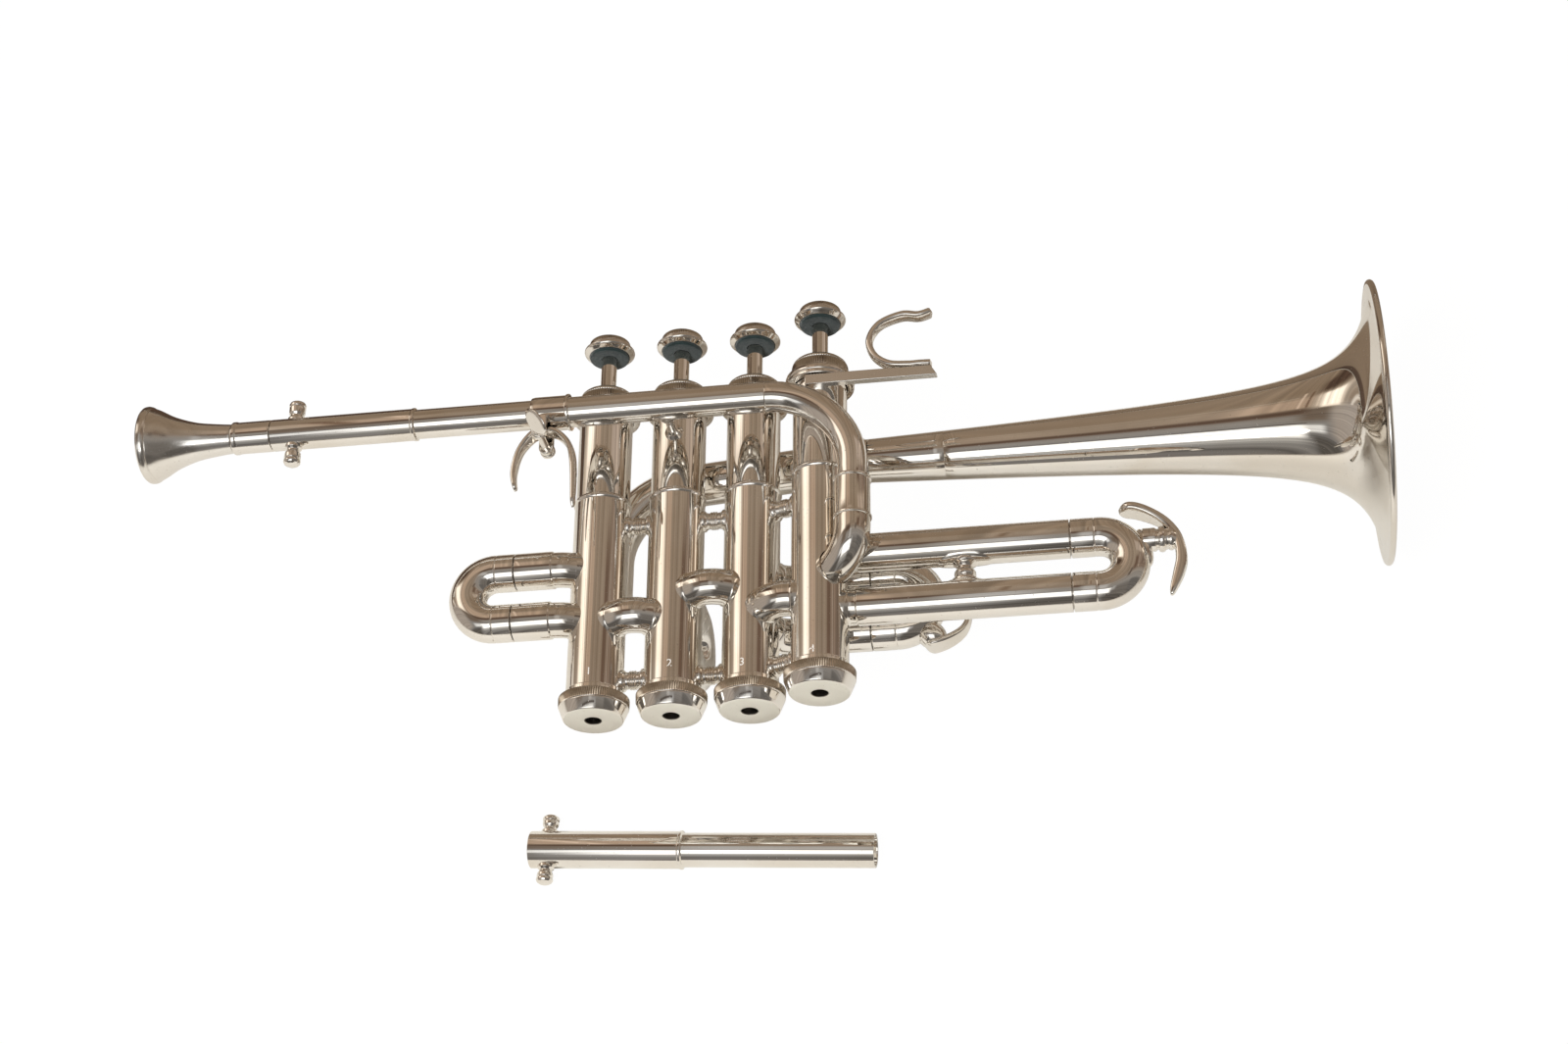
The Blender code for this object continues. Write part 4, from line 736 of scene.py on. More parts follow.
def knuckle(first, second, spread, height):
    """A short bow between two neighbouring casings, on the viewer's side."""
    start, end, way = between(first, second, height)
    line = math.atan2(way.y, way.x)
    lean = math.radians(spread)
    leave = Vector((math.cos(line - lean), math.sin(line - lean), 0))
    arrive = Vector((math.cos(line + math.pi + lean), math.sin(line + math.pi + lean), 0))
    corner = start + leave * ((end - start).length / 2 / math.cos(lean))
    route = Route(rounded([start + leave * 9.3, corner, end + arrive * 9.3], 9.0))
    length = route.length
    profile = [(rise, TUBE + more) for rise, more in FILLET]
    profile += [(length - rise, TUBE + more) for rise, more in reversed(FILLET)]
    profile += [(length, 4.8), (0, 4.8)]
    seats = ((0, (start.x, start.y, 9.3)), (length, (end.x, end.y, 9.3)))
    name = "knuckle_bow_%d_%d" % (first, second)
    return skin(name, "knuckle_%d_%d" % (first, second), route, profile, sides=64, seats=seats, soft=0.1)


knuckle(1, 2, 35, 34.5)
knuckle(2, 3, 35, 43.2)
knuckle(3, 4, 27.7, 34.8)
print("knuckles:", sum(piece.name.startswith("knuckle") for piece in MADE))

# %% [markdown]
# A valve slide has two fixed legs and a crook that pulls out of them. A leg leaves the casing
# at its port, turns to the slide's heading and ends in a wider sleeve, whose mouth stays open
# for the crook's inner tube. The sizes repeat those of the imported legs.

# %% Slide legs
SLEEVE = 6.4
SLIDES = {
    1: dict(heading=(-1, 0), port=205, aside=-5.0, bend=14.0, upper=54.6, lower=35.6, sleeve=14.4, mouth=27.2,
            socket=12.3, shoulder=34.0, centre=34.4),
    2: dict(heading=(0, 1), port=90, aside=0.0, bend=10.0, upper=50.0, lower=30.3, sleeve=11.0, mouth=24.0,
            socket=13.0, shoulder=30.5, centre=31.0),
    3: dict(heading=(1, 0), port=35, aside=8.0, bend=12.0, upper=50.0, lower=30.0, sleeve=16.9, mouth=39.4,
            socket=21.0, shoulder=47.8, centre=48.2),
    4: dict(heading=(1, 0), port=0, aside=0.0, bend=10.0, upper=50.0, lower=30.3, sleeve=12.3, mouth=82.3,
            socket=62.0, shoulder=90.3, centre=91.6),
}


def slide_spot(number, distance, height):
    """A point on a slide leg's axis, at a distance from its valve along the slide's heading."""
    slide = SLIDES[number]
    x, y = AXES[number]
    return Vector((x + slide["heading"][0] * distance, y + slide["heading"][1] * distance + slide["aside"], height))


def slide_leg(number, level):
    """A fixed outer tube from the casing's port to its open mouth."""
    slide = SLIDES[number]
    height = slide[level]
    port = math.radians(slide["port"])
    way = Vector((math.cos(port), math.sin(port), 0))
    axis = Vector((*AXES[number], height))
    mouth = slide_spot(number, slide["mouth"], height)
    corners = [axis + way * 9.3, mouth]
    if slide["aside"]:
        corners.insert(1, axis + way * (slide["aside"] / way.y))
    route = Route(rounded(corners, slide["bend"]))
    end = route.length
    step = end - (slide["mouth"] - slide["sleeve"])
    socket = end - slide["socket"]
    profile = [(rise, TUBE + more) for rise, more in FILLET]
    profile += [(step - 0.1, TUBE), (step + 0.35, SLEEVE), (end, SLEEVE), (end, 5.85), (socket, 5.85),
                (socket - 0.4, 4.8), (0, 4.8)]
    name = "slide_%d_%s_tube" % (number, level)
    return skin(name, "slide_%d_%s_leg" % (number, level), route, profile, sides=64,
                seats=((0, (axis.x, axis.y, 9.3)),), soft=0.12)


for number in SLIDES:
    for level in ("upper", "lower"):
        slide_leg(number, level)
print("slide legs:", sum(piece.name.endswith("_tube") for piece in MADE))

# %% [markdown]
# The crook is the part that moves: two slimmer inner legs, a ferrule over each, and the half
# turn between them. One route runs through all of it, so its tubes line up by themselves.

# %% Slide crooks
FERRULE = 6.42


def crook(number):
    """Inner legs, ferrules and the half turn as one bent tube."""
    slide = SLIDES[number]
    bend = (slide["upper"] - slide["lower"]) / 2
    inner = slide["mouth"] - slide["socket"] + 1.5
    corners = [slide_spot(number, inner, slide["upper"]), slide_spot(number, slide["centre"] + bend, slide["upper"]),
               slide_spot(number, slide["centre"] + bend, slide["lower"]), slide_spot(number, inner, slide["lower"])]
    route = Route(rounded(corners, bend))
    length = route.length
    start = slide["mouth"] + 0.35 - inner
    stop = slide["shoulder"] - inner
    half = [(0, 5.3), (start, 5.35), (start, 6.2), (start + 0.2, FERRULE), (stop - 0.25, FERRULE),
            (stop, FERRULE - 0.22), (stop + 0.25, SLEEVE)]
    profile = half + [(length - distance, radius) for distance, radius in reversed(half)]
    profile += [(length, 4.6), (0, 4.6)]
    return skin("slide_%d_bow" % number, "slide_%d_crook" % number, route, profile, sides=72, soft=0.12)


for number in SLIDES:
    crook(number)
print("crooks:", sum(piece.name.endswith("_bow") for piece in MADE))

# %% [markdown]
# The fourth slide is long, so a brace ties its two legs: a little turned post with a ball in
# the middle. Each end stands on a small oval plate that is bent to the tube and soldered down.
# The plate is a disc of rings wrapped round the tube's axis, domed a little and closed below.

# %% The fourth slide's brace
BRACE_FOOT = slide_spot(4, 47.9, 0)
FROM_LEG = SLIDES[4]["lower"] + SLEEVE
TO_LEG = SLIDES[4]["upper"] - SLEEVE


def brace():
    """A post with a flared foot, a ball and a saddle at each end."""
    profile = [(FROM_LEG - 0.6, 0), (FROM_LEG - 0.6, 4.6), (FROM_LEG + 0.3, 4.6), (FROM_LEG + 0.8, 4.0),
               (FROM_LEG + 1.1, 3.2), (FROM_LEG + 1.4, 2.9), (FROM_LEG + 1.8, 3.3), (FROM_LEG + 2.6, 3.6),
               (FROM_LEG + 3.4, 3.5), (FROM_LEG + 4.2, 3.0), (FROM_LEG + 4.6, 2.5), (TO_LEG - 1.6, 2.6),
               (TO_LEG - 0.9, 3.2), (TO_LEG - 0.2, 4.2), (TO_LEG + 0.6, 4.4), (TO_LEG + 0.6, 0)]
    return skin("brace_post", "fourth_slide_brace", straight(BRACE_FOOT, (0, 0, 1)), profile, sides=48, soft=0.2)


def saddle(name, height, up, reach, spread):
    """An oval plate bent round a leg where the brace's post stands; up is 1 or -1."""
    centre = slide_spot(4, 47.9, height)
    shape = bmesh.new()
    rings = []
    for share, rise in ((0, 0.5), (0.4, 0.5), (0.75, 0.45), (0.92, 0.3), (1.0, 0.05), (1.0, -0.15), (0.5, -0.15), (0, -0.15)):
        ring = []
        for corner in range(32 if share else 1):
            angle = math.tau * corner / 32
            lean = share * math.sin(angle) * spread
            size = SLEEVE + rise
            ring.append(shape.verts.new(at(centre + Vector((share * math.cos(angle) * reach, math.sin(lean) * size,
                                                            up * math.cos(lean) * size)))))
        rings.append(ring)
    for lower, upper in zip(rings, rings[1:]):
        join_rings(shape, lower, upper)
    return settle(name, shape, "fourth_slide_brace", [SILVER], replaces=False)


brace()
saddle("brace_saddle_lower", SLIDES[4]["lower"], 1, 6.0, math.radians(50))
saddle("brace_saddle_upper", SLIDES[4]["upper"], -1, 9.0, math.radians(50))
print("brace between heights", FROM_LEG, "and", TO_LEG)

# %% [markdown]
# The leadpipe is the long tube in front. Its left end is the receiver, a wider sleeve with a
# ring where the pipe goes in, open on the left for the tuning shank. On the right it turns
# down in a wide quarter bend. A fine joint line shows where the bend is soldered on.

# %% Leadpipe
PIPE_Y = -24.8
PIPE_Z = 104.3
PIPE = 5.2
RECEIVER_LEFT = -45.6
RECEIVER_RIGHT = -32.6
DROP_X = 63.6
PIPE_FOOT = 70.3

pipe_route = Route(rounded([(RECEIVER_LEFT, PIPE_Y, PIPE_Z), (DROP_X, PIPE_Y, PIPE_Z), (DROP_X, PIPE_Y, PIPE_FOOT)],
                           29.0))
pipe_end = pipe_route.length
bend_start = DROP_X - 29.0 - RECEIVER_LEFT
receiver = RECEIVER_RIGHT - RECEIVER_LEFT
pipe_profile = [(0, 5.6), (0.1, 5.75), (1.2, 5.95), (receiver - 1.1, 5.95), (receiver - 0.95, 6.35), (receiver - 0.1, 6.35),
                (receiver, 6.0), (receiver, PIPE)]
pipe_profile += groove(bend_start, PIPE) + [(pipe_end, PIPE), (pipe_end, 4.3), (receiver + 0.4, 4.3),
                                            (receiver - 0.1, 5.6), (0, 5.6)]
skin("leadpipe_tube", "leadpipe", pipe_route, pipe_profile, sides=80, soft=0.1)
print("leadpipe:", round(pipe_end, 1), "mm along its axis")

# %% [markdown]
# Flat fittings are sawn from sheet and filed round. A helper takes an outline in the X-Z plane
# and a thickness across it, and a Bevel modifier then rounds the edges.

# %% Flat fittings


def plate(name, node, outline, near, far, finish=None, edge=0.4, replaces=False):
    """A flat piece between two depths, with its outline in X and Z and filed edges."""
    shape = bmesh.new()
    sides = [[shape.verts.new(at((x, depth, z))) for x, z in outline] for depth in (near, far)]
    shape.faces.new(sides[0])
    shape.faces.new(sides[1][::-1])
    join_rings(shape, sides[0], sides[1])
    piece = settle(name, shape, node, [finish or SILVER], replaces)
    bevel = piece.modifiers.new("filed_edges", "BEVEL")
    bevel.width = edge * MM
    bevel.segments = 3
    bevel.limit_method = "ANGLE"
    bevel.angle_limit = math.radians(30)
    return piece


def lug(x, low, high, width):
    """An outline of a tab with a round lower end."""
    radius = width / 2
    arc = [(x + radius * math.cos(angle), low + radius + radius * math.sin(angle))
           for angle in [math.pi + math.pi * step / 16 for step in range(17)]]
    return [(x - radius, high)] + arc + [(x + radius, high)]


CLAMP_X = -42.0
CLAMP_Z = 94.1
for word, near in (("near", -31.1), ("far", -20.5)):
    plate("clamp_lug_" + word, "leadpipe", lug(CLAMP_X, CLAMP_Z - 2.6, PIPE_Z - 3.6, 5.0), near, near + 2.0)
print("clamp lugs on the receiver at x", CLAMP_X)

# %% [markdown]
# The clamp screw goes through both lugs. Its head is a thin oval wing, turned sideways here,
# on a collar; the other end carries a round nut. The wing is a sphere squeezed into a coin and
# hollowed a little on both faces, as cast wings are.

# %% Clamp screw


def screw_shaft():
    """Shaft, collar and nut of the clamp screw."""
    head = 6.7
    profile = [(-head - 4.6, 0), (-head - 4.4, 1.1), (-head - 3.4, 1.9), (-head - 1.0, 2.05), (-head - 0.7, 2.4),
               (-head, 2.4), (-head, 1.35), (head, 1.35), (head, 2.35), (head + 0.3, 2.6), (head + 1.4, 2.6),
               (head + 1.7, 2.3), (head + 1.9, 1.5), (head + 2.1, 1.5), (head + 3.1, 1.5), (head + 3.4, 1.2),
               (head + 3.4, 0)]
    return skin("clamp_screw_shaft", "clamp_screw", straight((CLAMP_X, PIPE_Y, CLAMP_Z), (0, 1, 0)), profile,
                sides=40, soft=0.15)


def wing():
    """The oval thumb wing on the screw's head."""
    shape = bmesh.new()
    bmesh.ops.create_uvsphere(shape, u_segments=40, v_segments=24, radius=1.0)
    tilt = Matrix.Rotation(math.radians(49), 3, "Y") @ Matrix.Rotation(math.radians(-25), 3, "X")
    for vertex in shape.verts:
        across = math.hypot(vertex.co.x, vertex.co.y)
        dish = 1 - 0.35 * max(0.0, 1 - (across / 0.75) ** 2)
        spot = Vector((vertex.co.x * 5.6 + 1.5, vertex.co.y * 4.3, vertex.co.z * 0.9 * dish))
        vertex.co = at(tilt @ spot + Vector((CLAMP_X, -38.6, CLAMP_Z)))
    return settle("clamp_wing", shape, "clamp_screw", [SILVER], replaces=False)


screw_shaft()
wing()
print("clamp screw on the axis", (CLAMP_X, PIPE_Y, CLAMP_Z))

# %% [markdown]
# Hooks and saddles are bent from half-round strip. A strap follows a smooth curve through a
# few knots that were read off the real outline; its section is a flattened oval whose width
# and thickness change from knot to knot, and both ends are rounded off.

# %% Straps


def curve_through(knots, steps):
    """A Catmull-Rom curve through the knots."""
    knots = [Vector(knot) for knot in knots]
    ends = [knots[0] * 2 - knots[1]] + knots + [knots[-1] * 2 - knots[-2]]
    spots = []
    for a, b, c, d in zip(ends, ends[1:], ends[2:], ends[3:]):
        for step in range(steps):
            t = step / steps
            spots.append(0.5 * (2 * b + (c - a) * t + (2 * a - 5 * b + 4 * c - d) * t * t
                                + (3 * b - a - 3 * c + d) * t ** 3))
    return spots + [knots[-1]]


def strap(name, node, origin, knots, width, thickness, finish=None, replaces=True, ends=(1.2, 1.2), crown=0.65):
    """A bent strip across Y. A knot lists its X and Z steps from the origin and the shares of
    the full width and thickness."""
    spots = curve_through(knots, 10)
    marks = [0.0]
    for before, after in zip(spots, spots[1:]):
        marks.append(marks[-1] + math.hypot(after.x - before.x, after.y - before.y))
    shape = bmesh.new()
    rings = []
    for index, spot in enumerate(spots):
        ahead, behind = spots[min(index + 1, len(spots) - 1)], spots[max(index - 1, 0)]
        way = Vector((ahead.x - behind.x, ahead.y - behind.y)).normalized()
        fall = 1.0
        for distance, reach in ((marks[index], ends[0]), (marks[-1] - marks[index], ends[1])):
            fall = min(fall, math.sqrt(max(1 - (1 - min(distance / reach, 1)) ** 2, 0.0))) if reach else fall
        fall = max(fall, 0.06)
        ring = []
        for corner in range(24):
            angle = math.tau * corner / 24
            across = math.copysign(abs(math.cos(angle)) ** crown, math.cos(angle)) * width * spot.z * fall / 2
            rise = math.copysign(abs(math.sin(angle)) ** crown, math.sin(angle)) * thickness * spot.w * max(fall, 0.5) / 2
            ring.append(shape.verts.new(at((origin[0] + spot.x - way.y * rise, origin[1] + across,
                                            origin[2] + spot.y + way.x * rise))))
        rings.append(ring)
    for lower, upper in zip(rings, rings[1:]):
        join_rings(shape, lower, upper)
    shape.faces.new(rings[0])
    shape.faces.new(rings[-1])
    return settle(name, shape, node, [finish or SILVER], replaces)


print("a strap's section has 24 points")

# %% [markdown]
# The thumb saddle is an inverted U under the receiver. The left thumb rests inside it while
# the hand holds the valves. It is widest at the top and thins out to both tips.

# %% Thumb saddle
SADDLE_TOP = 96.95
SADDLE_KNOTS = [(-8.4, -22.1, 0.5, 0.7), (-9.3, -15.2, 0.7, 1), (-7.6, -6.9, 0.8, 1), (-3.2, -1.0, 1, 1), (1.0, 0, 1, 1),
                (5.2, -1.0, 1, 1), (9.4, -5.9, 0.9, 1), (11.1, -13.9, 0.8, 1), (11.6, -29.8, 0.5, 0.7)]
strap("thumb_saddle_strip", "thumb_saddle", (CLAMP_X, PIPE_Y, SADDLE_TOP), SADDLE_KNOTS, 6.4, 2.1, ends=(2.0, 2.5))
print("thumb saddle knots:", len(SADDLE_KNOTS))

# %% [markdown]
# From the leadpipe's lower end the air goes through a sleeve with a ring at each end and a
# tight elbow into the fourth valve.

# %% Elbow into the fourth valve
ELBOW = 5.9
fourth = Vector((*AXES[4], 42.0))
elbow_foot = Vector((DROP_X, PIPE_Y, 42.0))
elbow_way = (elbow_foot - fourth).normalized()
elbow_route = Route(rounded([(DROP_X, PIPE_Y, 70.0), elbow_foot, fourth + elbow_way * 9.3], 11.0))
elbow_end = elbow_route.length
elbow_profile = [(0, ELBOW), (0.05, 6.3), (0.85, 6.35), (1.05, ELBOW), (13.9, ELBOW), (14.1, 6.35), (14.9, 6.35),
                 (15.1, ELBOW)] + [(elbow_end - rise, ELBOW + more) for rise, more in reversed(FILLET)]
elbow_profile += [(elbow_end, 4.3), (0, 4.3)]
skin("elbow_tube", "leadpipe_elbow", elbow_route, elbow_profile, sides=72,
     seats=((elbow_end, (*AXES[4], 9.3)),), soft=0.15)
print("elbow:", round(elbow_end, 1), "mm along its axis")

# %% [markdown]
# The tuning shank slides in the receiver, and its sleeve takes the mouthpiece's adapter. Two
# small knobs near its left end are for pulling it. The spare shank that lies in front of the
# trumpet is the same thing, only longer and stouter, with a thin slit at its narrow end.

# %% Tuning shanks


def shank(name, node, route, sleeve, narrow, stout=1.0):
    """A sleeve with a bead at its end and a narrow part that goes into the receiver."""
    length = sleeve + narrow
    profile = [(0, 4.85), (0, 5.5), (sleeve - 0.9, 5.5), (sleeve - 0.7, 5.7), (sleeve + 0.1, 5.74),
               (sleeve + 0.3, 5.5), (sleeve + 0.5, 5.05), (length, 5.05), (length, 4.25), (11.0, 4.25),
               (10.0, 4.85)]
    profile = [(distance, radius * stout) for distance, radius in profile]
    return skin(name, node, route, profile, sides=72, soft=0.12)


def knob(name, node, route, distance, sign, base=5.2):
    """A stout pull knob with a collar at its foot and a groove under its round head."""
    centre, way, side, rise = route.frame(distance)
    up = sign * (Vector((0, 0, 1)) - way * way.z).normalized()
    profile = [(base - 0.4, 0), (base - 0.4, 3.0), (base + 0.7, 2.95), (base + 1.1, 2.5), (base + 1.4, 2.2),
               (base + 1.9, 2.2), (base + 2.3, 2.5), (base + 2.7, 2.75), (10.0, 2.85), (10.2, 2.6), (10.45, 2.6),
               (10.6, 2.9), (11.3, 2.95), (12.0, 2.6), (12.5, 1.8), (12.75, 0.8), (12.8, 0)]
    return skin(name, node, straight(centre, up), profile, sides=48, soft=0.12, replaces=False)


SHANK_LEFT = -137.7
shank_route = straight((SHANK_LEFT, PIPE_Y, PIPE_Z), (1, 0, 0))
shank("tuning_shank_tube", "tuning_shank", shank_route, 50.7, 53.2)
SPARE_SLEEVE, SPARE_NARROW, STOUT = 53.4, 66.9, 1.17
spare_tilt = math.radians(3.45)
spare_route = straight((-60.7, 67.2 - 5.74 * STOUT, -18.9), (math.cos(spare_tilt), 0, -math.sin(spare_tilt)))
spare = shank("spare_shank_tube", "spare_shank", spare_route, SPARE_SLEEVE, SPARE_NARROW, STOUT)
for word, sign in (("upper", 1), ("lower", -1)):
    knob("tuning_knob_" + word, "tuning_shank", shank_route, 7.5, sign)
    knob("spare_knob_" + word, "spare_shank", spare_route, 5.8, sign, 6.2)
print("shanks:", 2, "knobs:", 4)

# %% [markdown]
# The slit in the spare shank's narrow end lets the tube close a little on its seat. It is cut
# with a Boolean modifier and a thin wedge that stays hidden.

# %% Slit in the spare shank
slit = bmesh.new()
bmesh.ops.create_cube(slit, size=1.0)
centre, way, side, rise = spare_route.frame(SPARE_SLEEVE + SPARE_NARROW - 2.0)
for vertex in slit.verts:
    local = vertex.co
    vertex.co = at(centre + way * local.x * 7.0 + Vector((0, -1, 0)) * (local.y * 4 + 5.0)
                   + Vector((0, 0, 1)) * local.z * 0.9)
slit_mesh = bpy.data.meshes.new("slit_cutter")
bmesh.ops.recalc_face_normals(slit, faces=slit.faces)
slit.to_mesh(slit_mesh)
slit.free()
slit_cutter = bpy.data.objects.new("slit_cutter", slit_mesh)
bpy.context.collection.objects.link(slit_cutter)
slit_cutter.parent = spare
slit_cutter.hide_render = True
slit_cutter.hide_viewport = True
cut = spare.modifiers.new("slit", "BOOLEAN")
cut.object = slit_cutter
cut.solver = "EXACT"
print("slit:", 7.0 / 2 + 2.0, "mm deep")

# %% [markdown]
# The adapter widens the mouthpiece's thin shank to the sleeve's width. The mouthpiece itself
# is one long trumpet curve from shank to rim, so its profile is drawn as a smooth curve
# through a few measured points, with the rim and the cup added.

# %% Adapter and mouthpiece
adapter_profile = [(13.9 + 9.0, 4.5), (13.9, 4.5), (13.9, 5.15), (13.7, 5.45), (13.0, 5.5), (2.0, 5.5), (1.4, 5.75),
                   (0.4, 5.75), (0.0, 5.5), (0.0, 4.65), (11.0, 4.5), (12.0, 3.45), (13.9 + 9.0, 3.45)]
skin("adapter_sleeve", "mouthpiece_adapter", straight((-151.9, PIPE_Y, PIPE_Z), (1, 0, 0)), adapter_profile,
     sides=72, soft=0.15)

RIM_X = -183.4
outside = [(31.2, 5.0), (25.4, 5.6), (18.1, 6.7), (10.8, 9.05), (5.6, 11.75), (3.5, 12.7)]
outside = [(spot.x, spot.y) for spot in curve_through([(*pair, 0) for pair in outside], 6)]
rim = [(3.3, 12.6), (3.15, 12.9), (2.6, 13.3), (1.8, 13.5), (0.9, 13.4), (0.3, 12.9), (0.0, 12.0), (0.1, 11.0),
       (0.5, 10.1), (1.1, 9.3), (1.9, 8.5)]
bowl = [(1.5 + 9.2 * math.sin(angle), 1.9 + 6.5 * math.cos(angle) ** 0.8)
        for angle in [math.radians(8 * step) for step in range(1, 11)]]
mouth_profile = [(42.0, 4.15), (31.2, 4.2)] + outside + rim + bowl + [(11.6, 1.9), (17.0, 1.9), (42.0, 3.2)]
skin("mouthpiece_body", "mouthpiece", straight((RIM_X, PIPE_Y, PIPE_Z), (1, 0, 0)), mouth_profile, RUBBED, sides=128,
     soft=0.1)
print("mouthpiece profile points:", len(mouth_profile))

# %% [markdown]
# Two short posts hold tubes to casings: one from the leadpipe to valve 2, one from valve 3
# back to the bell's tail. Both are turned with a flare where they are soldered on.

# %% Posts
post_profile = [(0, 0), (0, 3.0), (0.9, 2.6), (2.0, 1.9), (3.6, 1.65), (6.0, 1.65), (8.2, 1.7), (9.6, 2.3),
                (10.8, 3.2), (11.2, 3.2), (11.2, 0)]
skin("leadpipe_post_turned", "leadpipe_post", straight((0, -20.1, 102.8), (0, 1, 0)), post_profile, sides=40)
tail_profile = [(0, 0), (0, 3.0), (0.8, 2.9), (1.5, 2.6), (2.2, 2.95), (3.0, 3.0), (3.0, 0)]
skin("bell_post_turned", "bell_post", straight((26.1, 8.9, 99.03), (0, 1, 0)), tail_profile, sides=40)
print("posts:", 2)

# %% [markdown]
# The bell opens slowly at first and then ever more suddenly, so one formula gives its whole
# outline: a slim cone plus a horn that follows a power of the distance from the rim. The wall
# is thin, and the rim is rolled round a wire, which shows as a bead.

# %% Bell
BELL_X = 64.0
BELL_Y = 18.5
BELL_Z = 102.0
BELL_LENGTH = 173.75
BELL_RIM = 47.5


def horn(distance):
    """How far the mouth's flare has opened at a distance from the rim."""
    return (1 + distance / 5.2) ** -0.8


def bell_radius(distance):
    """The bell's outer radius at a distance from the rim."""
    share = (horn(distance) - horn(BELL_LENGTH)) / (1 - horn(BELL_LENGTH))
    return 7.6 + 4.4 * (1 - distance / BELL_LENGTH) + (BELL_RIM - 12.0) * share


def bell():
    """Tail, flare and rolled rim as one thin shell."""
    depths = [BELL_LENGTH * (1 - step / 90) ** 2.4 for step in range(90)] + [0.0]
    outer = [(BELL_LENGTH - depth, bell_radius(depth)) for depth in depths]
    inner = []
    for index, (distance, radius) in enumerate(outer):
        behind, ahead = outer[max(index - 1, 0)], outer[min(index + 1, len(outer) - 1)]
        slope = Vector((ahead[0] - behind[0], ahead[1] - behind[1])).normalized()
        inner.append((distance + slope.y * 0.9, radius - slope.x * 0.9))
    inner[0] = (0.0, inner[0][1])
    outer = [pair for pair in outer if pair[0] < BELL_LENGTH - 0.7]
    inner = [pair for pair in inner if pair[0] < BELL_LENGTH - 0.1]
    bead = []
    for step in range(13):
        angle = math.radians(200 - 22.5 * step)
        bead.append((BELL_LENGTH + 1.1 * math.cos(angle), BELL_RIM + 1.1 * math.sin(angle)))
    seam = groove(26.5, bell_radius(BELL_LENGTH - 26.5), 0.3, 0.08)
    outer = [pair for pair in outer if abs(pair[0] - 26.5) > 1.0] + seam
    outer.sort()
    profile = outer + bead + inner[::-1]
    return skin("bell_shell", "bell", straight((BELL_X, BELL_Y, BELL_Z), (1, 0, 0)), profile, sides=160, soft=0.0)


bell()
print("bell radius at the tail and the rim:", round(bell_radius(BELL_LENGTH), 2), bell_radius(0))

# %% [markdown]
# Behind the valves the bell's tail slopes gently down, turns in a wide arch behind valve 1
# and enters its casing from the back through a tight elbow. Two ferrules hide its joints.

# %% Bell bow
SLOPE = math.tan(math.radians(4.9))
tail = Vector((BELL_X - 0.3, BELL_Y, BELL_Z))
knee = tail - Vector((3.0, 0, 0))
first_x = AXES[1][0]
arch = Vector((first_x, BELL_Y, BELL_Z - (knee.x - first_x) * SLOPE))
big_turn = rounded([knee, arch, (first_x, BELL_Y, 45.0)], 29.0)
small_turn = rounded([big_turn[-2][0], (first_x, BELL_Y, 45.0), (first_x, 9.3, 45.0)], 9.3)
bow_route = Route([(tail, Vector((-1, 0, 0)))] + big_turn[:-1] + small_turn[1:])
bow_length = bow_route.length
arch_at = (tail - big_turn[1][0]).length


def bow_radius(distance):
    """The bow narrows a little from the bell to valve 1."""
    return 7.6 - 0.4 * distance / bow_length


bow_profile = [(0, 7.6), (0.8, 7.6), (1.0, 7.9), (6.5, 7.9), (6.8, 7.58)]
bow_profile += groove(arch_at, bow_radius(arch_at)) + [(bow_length - 3.0, 7.22)]
bow_profile += groove(bow_length - 2.0, 7.2) + [(bow_length, 7.2), (bow_length, 6.0), (0, 6.4)]
skin("bow_tube", "bell_bow", bow_route, bow_profile, sides=80, seats=((bow_length, (*AXES[1], 9.3)),), soft=0.12)
print("bow:", round(bow_length, 1), "mm along its axis")

# %% [markdown]
# The right hand's little finger holds the instrument by a hook. It stands on a flat bar that
# runs back to the fourth valve. The bar's right end is cut slantwise, and its narrow side is
# brushed rather than polished.

# %% Hook bar and little finger's hook
BAR_RIGHT = 92.0
bar_outline = [(47.0, 110.4), (BAR_RIGHT, 110.4), (BAR_RIGHT - 2.2, 114.3), (47.0, 114.3)]
plate("hook_bar_filed", "hook_bar", bar_outline, -21.3, -18.6, RUBBED, edge=0.3, replaces=True)
HOOK_KNOTS = [(-1.8, 0, 0.9, 1), (-6.0, 0, 1, 1), (-10.0, 0, 1, 1), (-16.5, 1.0, 0.95, 1), (-21.4, 5.0, 0.85, 1),
              (-23.0, 11.2, 0.8, 1), (-19.4, 17.2, 0.9, 1), (-11.8, 20.2, 1, 1), (-6.0, 19.6, 1, 1), (-1.4, 20.9, 1, 1)]
strap("pinky_hook_strap", "pinky_hook", (BAR_RIGHT, -19.0, 115.8), HOOK_KNOTS, 5.0, 2.4, ends=(0.6, 1.0))
print("bar from", bar_outline[0][0], "to", BAR_RIGHT)

# %% [markdown]
# Two slides have crescent hooks for pulling them while playing. Each is a thick tapering blade
# that broadens into a finger rest at one end. A short stout post with an oval foot holds it
# off the crook; the third slide's blade sits on a round boss instead.

# %% Crescent hooks


def outermost(number):
    """The point of a slide's crook that lies farthest from its valve."""
    slide = SLIDES[number]
    reach = slide["centre"] + (slide["upper"] - slide["lower"]) / 2 + SLEEVE
    return slide_spot(number, reach, (slide["upper"] + slide["lower"]) / 2)


def lump(name, node, centre, sizes, lean):
    """A ball squeezed to three half sizes and leaned about Y, as a boss or a soldered foot."""
    shape = bmesh.new()
    bmesh.ops.create_uvsphere(shape, u_segments=40, v_segments=24, radius=1.0)
    tilt = Matrix.Rotation(math.radians(lean), 3, "Y")
    for vertex in shape.verts:
        vertex.co = at(centre + tilt @ (vertex.co * Vector(sizes)))
    return settle(name, shape, node, [SILVER], replaces=False)


